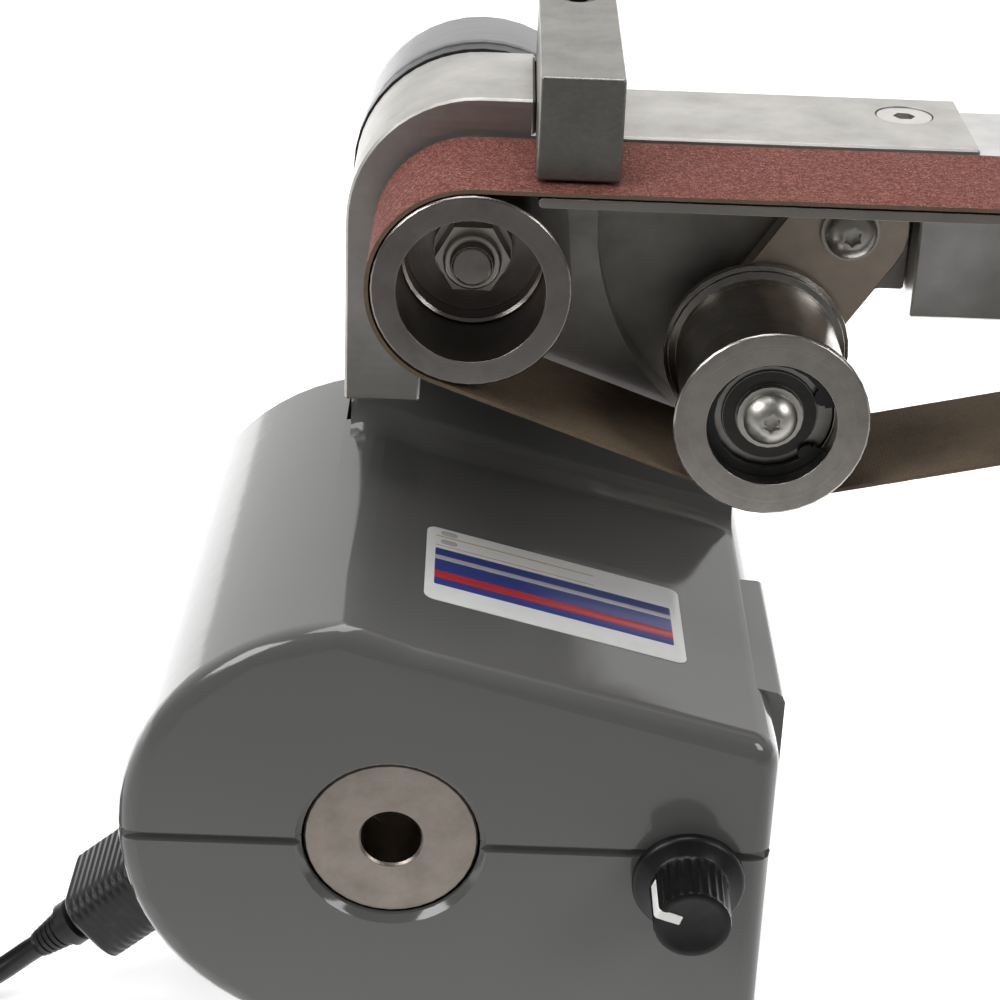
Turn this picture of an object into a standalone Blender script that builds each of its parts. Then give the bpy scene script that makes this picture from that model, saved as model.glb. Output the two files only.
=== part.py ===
"""Bench belt grinder, as an assembly of separate solids.

A grey two-part housing holds a motor. The motor's spindle carries a turned chuck disc at the
front, and behind the housing's rear it drives a toothed belt up to the shaft of the drive
roller. A machined frame with a long arm carries the drive roller, a sprung lever with a
flanged idler spool, an extension bar with a small end roller, a steel platen under the
abrasive belt's top run, and a square work rest across the belt.

Every place below is measured from the centre of the drive roller's front face, with +X to
the right along the arm, +Y to the rear and +Z up. The datum empty then moves the whole
model so that its origin is at the middle of the bottom of its bounding box.
"""

import math

import bmesh
import bpy
from mathutils import Vector

mm = 0.001

# Clearances
GAP = 0.3 * mm  # between pieces that rest on or fit round each other
SLIDE_GAP = 0.5 * mm  # between pieces that move past each other

# Abrasive belt and its rollers
BELT_WIDTH = 32.0 * mm
BELT_THICK = 0.8 * mm
BELT_FRONT_Y = 0.2 * mm
DRIVE_R = 19.1 * mm
DRIVE_LENGTH = 33.5 * mm
DRIVE_BORE_R = 14.2 * mm
DRIVE_BORE_DEPTH = 25.2 * mm
SPOOL_X = 58.6 * mm
SPOOL_Z = -24.2 * mm
SPOOL_BARREL_R = 16.6 * mm
SPOOL_RIM_R = 19.0 * mm
SPOOL_RIM = 2.3 * mm
SPOOL_BORE_R = 12.6 * mm
END_X = 211.0 * mm
END_R = 12.7 * mm
EDGE = 0.4 * mm  # chamfer on the turned steel parts

# Shaft, bearings and fasteners
SHAFT_R = 6.0 * mm
STUD_R = 4.0 * mm
STUD_FRONT_Y = 13.4 * mm
BEARING_R = 14.0 * mm
BEARING_WIDTH = 8.0 * mm
M8_ACROSS = 13.0 * mm
AXLE_R = 5.0 * mm
BUTTON_R = 5.25 * mm  # M6 button head

# Frame with its arm
FRAME_FRONT_Y = 34.5 * mm
FRAME_DEPTH = 33.0 * mm
FRAME_LEFT = 25.8 * mm
FRAME_TOP_Z = 27.3 * mm
FRAME_CORNER_R = 26.5 * mm
SHOULDER_X = 11.2 * mm
ARM_TOP_Z = 20.5 * mm
ARM_END_X = 89.0 * mm
TONGUE_END_X = 99.5 * mm
TONGUE_THICK = 2.1 * mm
POCKET_DEPTH = 9.5 * mm
POCKET_TOP_Z = 15.2 * mm
LEG_WIDTH = 15.5 * mm
LEG_BOTTOM_Z = -38.3 * mm

# Tension lever
PIVOT_X = 75.7 * mm
PIVOT_Z = 2.0 * mm
PIVOT_R = 4.0 * mm
LEVER_R = 12.0 * mm
LEVER_THICK = 5.5 * mm
SPRING_R = 6.6 * mm
SPRING_WIRE_R = 0.65 * mm

# Extension bar, platen and work rest
BAR_BOTTOM_Z = -15.6 * mm
BAR_END_R = 11.7 * mm
BAR_BACK_DEPTH = 16.0 * mm
SHANK_FRONT_Y = 51.0 * mm
SHANK_DEPTH = 13.2 * mm
SHANK_LENGTH = 33.0 * mm
PLATEN_X = 12.0 * mm
PLATEN_THICK = 1.9 * mm
REST_WIDTH = 15.8 * mm
REST_HEIGHT = 20.0 * mm
REST_FRONT_Y = 5.0 * mm

# Back plate, cover and toothed drive
PLATE_THICK = 4.0 * mm
PLATE_R = 27.0 * mm
COVER_R = 25.7 * mm
COVER_DEPTH = 19.9 * mm
COVER_WALL = 2.0 * mm
TOOTH_PITCH = 5.08 * mm
MOTOR_TEETH = 16
ROLLER_TEETH = 12
TOOTHED_WIDTH = 10.6 * mm

# Motor and spindle
SPINDLE_X = -12.0 * mm
SPINDLE_Z = -104.8 * mm
MOTOR_R = 31.0 * mm
DISC_R = 17.25 * mm
DISC_HOLE_R = 6.0 * mm
DISC_DEEP = 2.0 * mm  # how far the disc's face sits behind the housing's face

# Housing
HOUSING_X = -18.0 * mm
HOUSING_R = 48.0 * mm
HOUSING_RIGHT = 63.0 * mm
HOUSING_FRONT_Y = -29.75 * mm
HOUSING_REAR_Y = 94.0 * mm
HOUSING_WALL = 2.6 * mm
SLOPE_TOP_Z = -61.3 * mm  # top of the sloping deck where it meets the round part
SLOPE = 0.264
CREST_X = -23.0 * mm  # where the round side starts to ease into the deck
DECK_X = -8.0 * mm
SADDLE_LEFT = -26.0 * mm
SADDLE_RIGHT = 60.0 * mm
SADDLE_FRONT_Y = 63.0 * mm
SADDLE_REAR_Y = 91.0 * mm
SADDLE_TOP_Z = -39.1 * mm
SADDLE_FILLET = 6.0 * mm
PAD_OUT = 2.7 * mm
PAD_FRONT_Y = -8.0 * mm
PAD_REAR_Y = 51.0 * mm
GROOVE = 2.0 * mm
FOOT_R = 13.0 * mm
FOOT_HEIGHT = 28.0 * mm

# Speed control
KNOB_X = 46.7 * mm
KNOB_Z = -109.5 * mm
KNOB_R = 7.7 * mm
KNOB_SKIRT_R = 11.1 * mm
KNOB_LENGTH = 14.6 * mm
POT_R = 8.0 * mm

# Mains inlet and cord
INLET_ANGLE = math.radians(220)  # seen from the front, anticlockwise from +X
INLET_Y = 17.0 * mm
INLET_HIGH = 19.0 * mm
INLET_WIDE = 27.0 * mm
CONNECTOR_HIGH = 17.8 * mm
CONNECTOR_WIDE = 25.0 * mm
CONNECTOR_LENGTH = 33.0 * mm
BOOT_LENGTH = 13.0 * mm
CORD_R = 2.6 * mm
COIL_X = -156.0 * mm
COIL_MID_R = 31.0 * mm
COIL_LAYERS = 3
COIL_LEAVE_R = 29.0 * mm  # where the cord leaves the coil for the plug
COIL_LEAVE = math.radians(108)  # seen from above, anticlockwise from +X
TAIL_R = 21.5 * mm
PLUG_BOOT = 10.0 * mm
PLUG_WIDE = 48.0 * mm
PLUG_LONG = 40.0 * mm
PLUG_HIGH = 20.0 * mm

# Worked out from the sizes above
FRAME_REAR_Y = FRAME_FRONT_Y + FRAME_DEPTH
POCKET_Y = FRAME_FRONT_Y + POCKET_DEPTH
BELT_LIFT = GAP  # between a roller and the belt's inner face
END_Z = DRIVE_R - END_R
PLATEN_TOP_Z = DRIVE_R - 0.1 * mm
BAR_TOP_Z = ARM_TOP_Z - TONGUE_THICK - GAP
PLATE_FRONT_Y = FRAME_REAR_Y + GAP
COVER_FRONT_Y = PLATE_FRONT_Y + PLATE_THICK + GAP
COVER_REAR_Y = COVER_FRONT_Y + COVER_DEPTH
PULLEY_Y = COVER_FRONT_Y + 2.0 * mm
PULLEY_FLANGE = 1.2 * mm
PULLEY_WIDTH = TOOTHED_WIDTH + 2 * (PULLEY_FLANGE + SLIDE_GAP)
LEVER_FRONT_Y = BELT_FRONT_Y + BELT_WIDTH + 4.3 * mm
SPOOL_FRONT_Y = BELT_FRONT_Y - GAP - SPOOL_RIM + 0.2 * mm
SPOOL_REAR_Y = LEVER_FRONT_Y - SLIDE_GAP
DISC_Y = HOUSING_FRONT_Y + DISC_DEEP
HOUSING_BOTTOM_Z = SPINDLE_Z - HOUSING_R
FOOT_TOP_Z = HOUSING_BOTTOM_Z - GAP
FLOOR_Z = FOOT_TOP_Z - FOOT_HEIGHT
KNOB_BACK_Y = HOUSING_FRONT_Y - 2.1 * mm
KNOB_FRONT_Y = KNOB_BACK_Y - KNOB_LENGTH
COIL_BUNDLE = COIL_LAYERS * 2 * CORD_R + 0.2 * mm
COIL_Y = INLET_Y - 8.8 * mm + COIL_MID_R + COIL_BUNDLE / 2 - CORD_R
BELT_RIGHT_X = END_X + END_R + BELT_LIFT + BELT_THICK
DATUM = Vector(
    (
        -(HOUSING_X - HOUSING_R + BELT_RIGHT_X) / 2,
        -(KNOB_FRONT_Y + HOUSING_REAR_Y) / 2,
        -FLOOR_Z,
    )
)

ALUMINIUM = ("aluminium", (0.60, 0.60, 0.58), 0.38, 1.0)
STEEL = ("turned_steel", (0.50, 0.49, 0.47), 0.28, 1.0)
DARK_STEEL = ("dark_steel", (0.16, 0.16, 0.16), 0.45, 1.0)
ZINC = ("zinc_plate", (0.62, 0.61, 0.58), 0.30, 1.0)
BEAD_BLAST = ("bead_blasted_steel", (0.42, 0.41, 0.38), 0.60, 1.0)
BLACK_PAINT = ("black_paint", (0.02, 0.02, 0.02), 0.50, 0.0)
GREY_PAINT = ("grey_paint", (0.42, 0.43, 0.44), 0.40, 0.0)
GREY_PLASTIC = ("grey_plastic", (0.33, 0.33, 0.32), 0.18, 0.0)
BLACK_PLASTIC = ("black_plastic", (0.015, 0.015, 0.015), 0.35, 0.0)
BLACK_RUBBER = ("black_rubber", (0.02, 0.02, 0.02), 0.80, 0.0)
ABRASIVE = ("abrasive_cloth", (0.28, 0.06, 0.05), 0.90, 0.0)
BRONZE = ("bronze", (0.45, 0.28, 0.12), 0.40, 1.0)
GREEN_BOARD = ("circuit_board", (0.02, 0.16, 0.06), 0.50, 0.0)


# Scene, collections and materials


def clear_scene():
    for old in list(bpy.data.objects):
        bpy.data.objects.remove(old, do_unlink=True)


def new_collection(name):
    collection = bpy.data.collections.new(name)
    bpy.context.scene.collection.children.link(collection)
    return collection


def new_datum():
    datum = bpy.data.objects.new("datum", None)
    datum.location = DATUM
    PARTS.objects.link(datum)
    return datum


def finish_of(look):
    name, colour, roughness, metallic = look
    found = bpy.data.materials.get(name)
    if found:
        return found
    made = bpy.data.materials.new(name)
    made.use_nodes = True
    made.diffuse_color = (*colour, 1.0)
    shader = made.node_tree.nodes["Principled BSDF"]
    shader.inputs["Base Color"].default_value = (*colour, 1.0)
    shader.inputs["Roughness"].default_value = roughness
    shader.inputs["Metallic"].default_value = metallic
    return made


def place(name, mesh, at, turn=(0.0, 0.0, 0.0), look=None):
    """Links a mesh to the parts, or to the cutters when it has no look."""
    piece = bpy.data.objects.new(name, mesh)
    piece.location = at
    piece.rotation_euler = turn
    piece.parent = DATUM_EMPTY
    if look is None:
        CUTTERS.objects.link(piece)
        piece.hide_render = True
        piece.display_type = "WIRE"
        return piece
    PARTS.objects.link(piece)
    mesh.materials.append(finish_of(look))
    return piece


# Basic shapes

FACING = {"up": (0.0, 0.0, 0.0), "front": (math.pi / 2, 0.0, 0.0)}


def box(name, low, high, look=None, bevel=0.0, segments=2):
    """A block between two corners, with its origin in its middle."""
    low, high = Vector(low), Vector(high)
    block = bmesh.new()
    bmesh.ops.create_cube(block, size=1.0)
    bmesh.ops.scale(block, vec=high - low, verts=block.verts)
    mesh = bpy.data.meshes.new(name)
    block.to_mesh(mesh)
    block.free()
    piece = place(name, mesh, (low + high) / 2, look=look)
    if bevel:
        round_edges(piece, bevel, segments)
    return piece


def turned(name, profile, at, facing="front", look=None, steps=20, closed=False, turn=None):
    """A turned piece. profile is (radius, height) pairs that run down its outer side.

    Facing the front, a height is a distance towards the front, so it is minus the Y of a
    point; front_profile() turns (radius, y) pairs into that.
    """
    mesh = bpy.data.meshes.new(name)
    edges = [(i, i + 1) for i in range(len(profile) - 1)]
    if closed:
        edges.append((len(profile) - 1, 0))
    mesh.from_pydata([(radius, 0.0, height) for radius, height in profile], edges, [])
    piece = place(name, mesh, at, FACING[facing] if turn is None else turn, look)
    screw = piece.modifiers.new("turn", "SCREW")
    screw.axis = "Z"
    screw.angle = 2 * math.pi
    screw.steps = steps
    screw.render_steps = steps
    screw.use_merge_vertices = True
    screw.merge_threshold = 0.00001
    screw.use_smooth_shade = True
    return piece


def front_profile(points):
    """(radius, y) pairs, front to rear, as (radius, height) pairs for a piece facing front."""
    return [(radius, -y) for radius, y in points]


def spun(name, points, x, z, look=None, steps=20, closed=False):
    """A piece turned about an axis along Y, through (x, z). points are (radius, y) pairs."""
    return turned(name, front_profile(points), (x, 0.0, z), "front", look, steps, closed)


def ring(name, inner, outer, y0, y1, x, z, look=None, steps=20, edge=0.0):
    """A plain ring, with its outer edges chamfered."""
    points = [(inner, y0), (outer - edge, y0), (outer, y0 + edge), (outer, y1 - edge)]
    points += [(outer - edge, y1), (inner, y1)]
    if not edge:
        points = [(inner, y0), (outer, y0), (outer, y1), (inner, y1)]
    return spun(name, points, x, z, look, steps, closed=True)


def rod(name, radius, y0, y1, x, z, look=None, steps=20, edge=0.0):
    """A plain round bar along Y."""
    points = [(0.0, y0), (radius - edge, y0), (radius, y0 + edge), (radius, y1), (0.0, y1)]
    if not edge:
        points = [(0.0, y0), (radius, y0), (radius, y1), (0.0, y1)]
    return spun(name, points, x, z, look, steps)


def pillar(name, radius, z0, z1, x, y, look=None, steps=16):
    """A plain round bar along Z."""
    profile = [(0.0, z1), (radius, z1), (radius, z0), (0.0, z0)]
    return turned(name, profile, (x, y, 0.0), "up", look, steps)


def slab(name, outlines, y0, y1, look=None):
    """A flat outline in X and Z, and any holes in it, with its thickness from y0 to y1."""
    curve = bpy.data.curves.new(name, "CURVE")
    curve.dimensions = "2D"
    curve.fill_mode = "BOTH"
    curve.extrude = (y1 - y0) / 2
    for outline in outlines:
        spline = curve.splines.new("POLY")
        spline.points.add(len(outline) - 1)
        for point, (x, z) in zip(spline.points, outline):
            point.co = (x, z, 0.0, 1.0)
        spline.use_cyclic_u = True
    return meshed(name, curve, (0.0, (y0 + y1) / 2, 0.0), FACING["front"], look)


def tube(name, points, radius, look, roundness=2):
    """A round cord or wire along points, with flat closed ends."""
    curve = bpy.data.curves.new(name, "CURVE")
    curve.dimensions = "3D"
    curve.bevel_depth = radius
    curve.bevel_resolution = roundness
    curve.use_fill_caps = True
    spline = curve.splines.new("POLY")
    spline.points.add(len(points) - 1)
    for point, place_of in zip(spline.points, points):
        point.co = (*place_of, 1.0)
    return meshed(name, curve, (0.0, 0.0, 0.0), (0.0, 0.0, 0.0), look)


def meshed(name, curve, at, turn, look):
    """The curve's shape as a closed mesh object."""
    holder = bpy.data.objects.new(name + "_curve", curve)
    CUTTERS.objects.link(holder)
    shown = holder.evaluated_get(bpy.context.evaluated_depsgraph_get())
    mesh = bpy.data.meshes.new_from_object(shown)
    mesh.name = name
    mesh.materials.clear()
    bpy.data.objects.remove(holder, do_unlink=True)
    shape = bmesh.new()
    shape.from_mesh(mesh)
    bmesh.ops.remove_doubles(shape, verts=shape.verts, dist=0.00001)
    if curve.dimensions == "2D":
        flat = math.radians(0.2)
        bmesh.ops.dissolve_limit(shape, angle_limit=flat, verts=shape.verts, edges=shape.edges)
    bmesh.ops.recalc_face_normals(shape, faces=shape.faces)
    shape.to_mesh(mesh)
    shape.free()
    return place(name, mesh, at, turn, look)


# Changes to shapes


def round_edges(piece, width, segments=2, angle=40.0):
    bevel = piece.modifiers.new("round", "BEVEL")
    bevel.width = width
    bevel.segments = segments
    bevel.limit_method = "ANGLE"
    bevel.angle_limit = math.radians(angle)
    bevel.use_clamp_overlap = True


def combine(piece, tool, operation):
    change = piece.modifiers.new(tool.name, "BOOLEAN")
    change.operation = operation
    change.solver = "EXACT"
    change.object = tool


def cut(piece, *cutters):
    for cutter in cutters:
        combine(piece, cutter, "DIFFERENCE")


def join(piece, *additions):
    for addition in additions:
        combine(piece, addition, "UNION")


# Outlines in X and Z


def arc(x, z, radius, start, end, count):
    """Points on an arc, in degrees anticlockwise from +X as seen from the front."""
    angles = [math.radians(start + (end - start) * i / count) for i in range(count + 1)]
    return [(x + radius * math.cos(a), z + radius * math.sin(a)) for a in angles]


def circle(x, z, radius, count=24):
    return arc(x, z, radius, 0.0, 360.0 - 360.0 / count, count - 1)


def hull_loop(circles, extra, step=7.0):
    """The loop that a band makes round circles (x, z, radius), named clockwise, extra outside."""
    points = []
    turns = []
    for (x0, z0, r0), (x1, z1, r1) in zip(circles, circles[1:] + circles[:1]):
        run = math.hypot(x1 - x0, z1 - z0)
        heading = math.degrees(math.atan2(z1 - z0, x1 - x0))
        turns.append(heading + 90.0 - math.degrees(math.asin((r1 - r0) / run)) * -1.0)
    for i, (x, z, radius) in enumerate(circles):
        start, end = turns[i - 1], turns[i]
        while end > start:
            end -= 360.0
        count = max(2, math.ceil((start - end) / step))
        points += arc(x, z, radius + extra, start, end, count)
    return points


def band(name, circles, thick, y0, y1, look):
    """A closed band round circles, as a solid."""
    outlines = [hull_loop(circles, thick), hull_loop(circles, 0.0)]
    return slab(name, outlines, y0, y1, look)


def stadium(x0, z0, x1, z1, radius, count=12):
    """The outline round two equal circles."""
    heading = math.degrees(math.atan2(z1 - z0, x1 - x0))
    first = arc(x0, z0, radius, heading + 90.0, heading + 270.0, count)
    return first + arc(x1, z1, radius, heading - 90.0, heading + 90.0, count)


def star(x, z, radius, lobes=6):
    """The outline of a six-lobed screw socket."""
    points = []
    for i in range(lobes * 2):
        angle = math.pi * i / lobes
        reach = radius * (1.0 if i % 2 else 0.74)
        points.append((x + reach * math.cos(angle), z + reach * math.sin(angle)))
    return points


# Abrasive belt, drive roller and shaft


def belt_circles():
    return [
        (0.0, 0.0, DRIVE_R + BELT_LIFT),
        (END_X, END_Z, END_R + BELT_LIFT),
        (SPOOL_X, SPOOL_Z, SPOOL_BARREL_R + BELT_LIFT),
    ]


def make_abrasive_belt():
    belt_rear_y = BELT_FRONT_Y + BELT_WIDTH
    band("abrasive_belt", belt_circles(), BELT_THICK, BELT_FRONT_Y, belt_rear_y, ABRASIVE)


def make_drive_roller():
    step_y = DRIVE_BORE_DEPTH - 4.7 * mm
    step_r = DRIVE_BORE_R - 0.8 * mm
    points = [
        (DRIVE_BORE_R, 0.0),
        (DRIVE_R - EDGE, 0.0),
        (DRIVE_R, EDGE),
        (DRIVE_R, DRIVE_LENGTH - EDGE),
        (DRIVE_R - EDGE, DRIVE_LENGTH),
        (STUD_R + GAP, DRIVE_LENGTH),
        (STUD_R + GAP, DRIVE_BORE_DEPTH),
        (step_r, DRIVE_BORE_DEPTH),
        (step_r, step_y),
        (DRIVE_BORE_R, step_y - 0.5 * mm),
    ]
    spun("drive_roller", points, 0.0, 0.0, STEEL, steps=44, closed=True)


def make_roller_shaft():
    shoulder_y = DRIVE_LENGTH + GAP
    end_y = PULLEY_Y + PULLEY_WIDTH + 0.7 * mm
    points = [
        (0.0, STUD_FRONT_Y),
        (STUD_R - EDGE, STUD_FRONT_Y),
        (STUD_R, STUD_FRONT_Y + EDGE),
        (STUD_R, shoulder_y),
        (SHAFT_R, shoulder_y),
        (SHAFT_R, end_y),
        (0.0, end_y),
    ]
    spun("roller_shaft", points, 0.0, 0.0, STEEL)


def make_roller_nut():
    """A lock nut with its nylon collar to the front, on a washer."""
    rear_y = DRIVE_BORE_DEPTH - GAP
    hex_rear_y = rear_y - 1.4 * mm
    hex_front_y = hex_rear_y - 5.6 * mm
    collar_y = hex_front_y - 2.2 * mm
    hexagon = circle(0.0, 0.0, M8_ACROSS / 2 / math.cos(math.pi / 6), 6)
    nut = slab("roller_nut", [hexagon], hex_front_y, hex_rear_y, ZINC)
    join(nut, rod("nut_collar", 5.7 * mm, collar_y, hex_rear_y - mm, 0.0, 0.0, edge=EDGE))
    join(nut, rod("nut_washer", 7.9 * mm, hex_rear_y - EDGE, rear_y, 0.0, 0.0))
    cut(nut, rod("nut_bore", STUD_R + GAP, collar_y - mm, rear_y + mm, 0.0, 0.0))


def make_shaft_bearings():
    inner = SHAFT_R + GAP
    front_y = FRAME_FRONT_Y + 0.5 * mm
    rear_y = FRAME_REAR_Y - 0.5 * mm - BEARING_WIDTH
    for name, y in (("front_bearing", front_y), ("rear_bearing", rear_y)):
        ring(name, inner, BEARING_R, y, y + BEARING_WIDTH, 0.0, 0.0, ZINC, edge=EDGE)


# Frame


def frame_outline():
    """The frame from the front: a rounded block with a leg at the left, and the arm."""
    corner_x = FRAME_CORNER_R - FRAME_LEFT
    corner_z = FRAME_TOP_Z - FRAME_CORNER_R
    leg_x = LEG_WIDTH - FRAME_LEFT
    points = [(-FRAME_LEFT, LEG_BOTTOM_Z)]
    points += arc(corner_x, corner_z, FRAME_CORNER_R, 180.0, 90.0, 14)
    points += [(SHOULDER_X, FRAME_TOP_Z), (SHOULDER_X, ARM_TOP_Z)]
    points += [(TONGUE_END_X, ARM_TOP_Z), (TONGUE_END_X, ARM_TOP_Z - TONGUE_THICK)]
    points += [(ARM_END_X, ARM_TOP_Z - TONGUE_THICK), (ARM_END_X, -13.0 * mm)]
    points += [(84.0 * mm, -13.0 * mm), (75.5 * mm, -15.2 * mm)]
    points += [(46.0 * mm, -39.5 * mm), (38.0 * mm, -41.0 * mm)]
    points += [(12.0 * mm, -31.0 * mm), (leg_x, -31.0 * mm), (leg_x, LEG_BOTTOM_Z)]
    return points


def pocket_outline():
    """The recess in the arm's front, with an arc on its left that clears the swinging spool."""
    low_z, right_x = -45.0 * mm, TONGUE_END_X
    arc_x, arc_z, arc_r = PIVOT_X + 3.8 * mm, PIVOT_Z + 1.5 * mm, 54.8 * mm
    low = math.degrees(math.asin((arc_z - low_z) / arc_r))
    high = math.degrees(math.asin((POCKET_TOP_Z - arc_z) / arc_r))
    points = arc(arc_x, arc_z, arc_r, 180.0 - high, 180.0 + low, 16)
    return points + [(right_x, low_z), (right_x, POCKET_TOP_Z)]


def stepped_bore(name, steps, x, z):
    """A cutter along Y through (x, z). steps are (radius, y it reaches back to) pairs."""
    y = FRAME_FRONT_Y - mm
    points = [(0.0, y)]
    for radius, rear_y in steps:
        points += [(radius, y), (radius, rear_y)]
        y = rear_y
    return spun(name, points + [(0.0, y)], x, z)


def make_frame():
    frame = slab("frame", [frame_outline()], FRAME_FRONT_Y, FRAME_REAR_Y, ALUMINIUM)
    round_edges(frame, 0.5 * mm, 1)
    seat_r = BEARING_R + GAP
    seat_depth = BEARING_WIDTH + 1.0 * mm
    clear = 1.0 * mm
    pocket = slab("pocket_cut", [pocket_outline()], FRAME_FRONT_Y - clear, POCKET_Y)
    seats = [(seat_r, FRAME_FRONT_Y + seat_depth), (SHAFT_R + 3 * mm, FRAME_REAR_Y - seat_depth)]
    seats.append((seat_r, FRAME_REAR_Y + clear))
    bearings = stepped_bore("bearing_cut", seats, 0.0, 0.0)
    well = [(9.5 * mm, POCKET_Y + 4.4 * mm), (3.3 * mm, SHANK_FRONT_Y + clear)]
    pivot = stepped_bore("pivot_cut", well, PIVOT_X, PIVOT_Z)
    channel = box("shank_cut", shank_low(GAP), shank_high(GAP, ARM_END_X + clear))
    sink = countersink("bar_screw_cut", GAP, ARM_TOP_Z + clear)
    rest_hole = pillar("rest_screw_cut", 2.8 * mm, rest_screw_low() - GAP, 30 * mm, *rest_screw_at())
    cut(frame, pocket, bearings, pivot, channel, sink, rest_hole)
    for name, x, z in frame_screw_places():
        end_y = FRAME_REAR_Y - 14.0 * mm
        cut(frame, rod(name + "_cut", 2.8 * mm, end_y - GAP, FRAME_REAR_Y + clear, x, z))


def frame_screw_places():
    """The screws that hold the frame to the back plate, clear of the rear bearing."""
    return [
        ("frame_screw_left", -18.0 * mm, -12.0 * mm),
        ("frame_screw_right", 18.0 * mm, -24.0 * mm),
    ]


def make_frame_screws():
    head_y = PLATE_FRONT_Y + PLATE_THICK + GAP
    for name, x, z in frame_screw_places():
        points = [(0.0, FRAME_REAR_Y - 14.0 * mm), (2.5 * mm, FRAME_REAR_Y - 14.0 * mm)]
        points += [(2.5 * mm, head_y), (4.0 * mm, head_y), (4.0 * mm, head_y + 3.0 * mm)]
        points += [(2.0 * mm, head_y + 3.0 * mm), (2.0 * mm, head_y + 1.5 * mm)]
        points += [(0.0, head_y + 1.5 * mm)]
        spun(name, points, x, z, DARK_STEEL, steps=20)


# Extension bar and its screw


def shank_low(gap):
    return (ARM_END_X - SHANK_LENGTH - gap, SHANK_FRONT_Y - gap, -4.7 * mm - gap)


def shank_high(gap, x):
    return (x, SHANK_FRONT_Y + SHANK_DEPTH + gap, 11.7 * mm + gap)


def bar_outline():
    """The bar from the front, tapering to a round end about the end roller's axle."""
    left_x = ARM_END_X + GAP
    points = [(left_x, BAR_BOTTOM_Z), (left_x, BAR_TOP_Z)]
    points += arc(END_X, END_Z, BAR_TOP_Z - END_Z, 90.0, -80.0, 16)
    points.append((left_x + 40.0 * mm, BAR_BOTTOM_Z))
    return points


def make_extension_bar():
    bar = slab("extension_bar", [bar_outline()], FRAME_FRONT_Y, FRAME_REAR_Y, ALUMINIUM)
    round_edges(bar, 0.5 * mm, 1)
    back_y = FRAME_FRONT_Y + BAR_BACK_DEPTH
    step_x = ARM_END_X + 42.0 * mm
    back = box("bar_back_cut", (step_x, back_y, -40 * mm), (250 * mm, 90 * mm, 50 * mm))
    shank = box("bar_shank", shank_low(0.0), shank_high(0.0, ARM_END_X + 5.0 * mm))
    join(bar, shank)
    axle_hole = rod("axle_cut", STUD_R + GAP, 30 * mm, 60 * mm, END_X, END_Z)
    screw_hole = countersink("bar_screw_hole_cut", GAP, ARM_TOP_Z + mm)
    cut(bar, back, axle_hole, screw_hole)
    for name, x in platen_screw_places():
        cut(bar, rod(name + "_cut", 2.2 * mm, 30 * mm, 44 * mm + GAP, x, platen_screw_z()))


def bar_screw_at():
    return (ARM_END_X - 1.7 * mm, FRAME_FRONT_Y + 21.5 * mm)


def countersink(name, gap, top_z, look=None):
    """The countersunk screw that clamps the bar's shank, or the hole for it."""
    x, y = bar_screw_at()
    head_r = 5.7 * mm + gap
    top = ARM_TOP_Z - 0.2 * mm
    shank_r = 3.0 * mm + gap
    low = -3.0 * mm - gap
    profile = [(0.0, top_z), (head_r, top_z), (head_r, top - gap)]
    profile += [(shank_r, top - 3.3 * mm - gap), (shank_r, low), (0.0, low)]
    if look:
        profile[1:3] = [(head_r, top_z)]
    return turned(name, profile, (x, y, 0.0), "up", look, 32)


def make_bar_screw():
    top = ARM_TOP_Z - 0.2 * mm
    screw = countersink("bar_screw", 0.0, top, ZINC)
    x, y = bar_screw_at()
    socket = turned("bar_screw_socket", hex_profile(2.31 * mm, top), (x, y, 0.0), "up", None, 6)
    cut(screw, socket)


def hex_profile(radius, top, depth=2.2 * mm):
    high = top + 1.0 * mm
    return [(0.0, high), (radius, high), (radius, top - depth), (0.0, top - depth)]


# Tension lever and its spool


def pivot_end_y():
    return SHANK_FRONT_Y - 2 * GAP


def button_points(head_front_y, collar_r, shoulder_r, shoulder_y, end_r, end_y):
    """A button-head screw with a washer face, from its front to its end."""
    head_y = head_front_y + 3.3 * mm
    collar_y = head_y + 1.0 * mm
    points = [(0.0, head_front_y), (2.6 * mm, head_front_y), (4.3 * mm, head_front_y + 0.8 * mm)]
    points += [(BUTTON_R, head_front_y + 2.2 * mm), (BUTTON_R, head_y), (collar_r, head_y)]
    points += [(collar_r, collar_y), (shoulder_r, collar_y), (shoulder_r, shoulder_y)]
    if end_r != shoulder_r:
        points += [(end_r, shoulder_y), (end_r, end_y)]
    return points + [(0.0, end_y if end_r != shoulder_r else shoulder_y)]


def socket_cut(screw, x, z, front_y, radius=1.95 * mm, depth=1.8 * mm):
    cut(screw, slab(screw.name + "_socket", [star(x, z, radius)], front_y - mm, front_y + depth))


def make_tension_lever():
    outline = stadium(PIVOT_X, PIVOT_Z, SPOOL_X, SPOOL_Z, LEVER_R)
    holes = [circle(PIVOT_X, PIVOT_Z, PIVOT_R + GAP), circle(SPOOL_X, SPOOL_Z, AXLE_R + GAP)]
    rear_y = LEVER_FRONT_Y + LEVER_THICK
    lever = slab("tension_lever", [outline, *holes], LEVER_FRONT_Y, rear_y, BEAD_BLAST)
    round_edges(lever, 0.6 * mm, 1)


def make_lever_screw():
    front_y = LEVER_FRONT_Y - GAP - 4.3 * mm
    shoulder_y = POCKET_Y - GAP
    points = button_points(front_y, 6.0 * mm, PIVOT_R, shoulder_y, 3.0 * mm, pivot_end_y())
    screw = spun("lever_screw", points, PIVOT_X, PIVOT_Z, ZINC)
    socket_cut(screw, PIVOT_X, PIVOT_Z, front_y)


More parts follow.
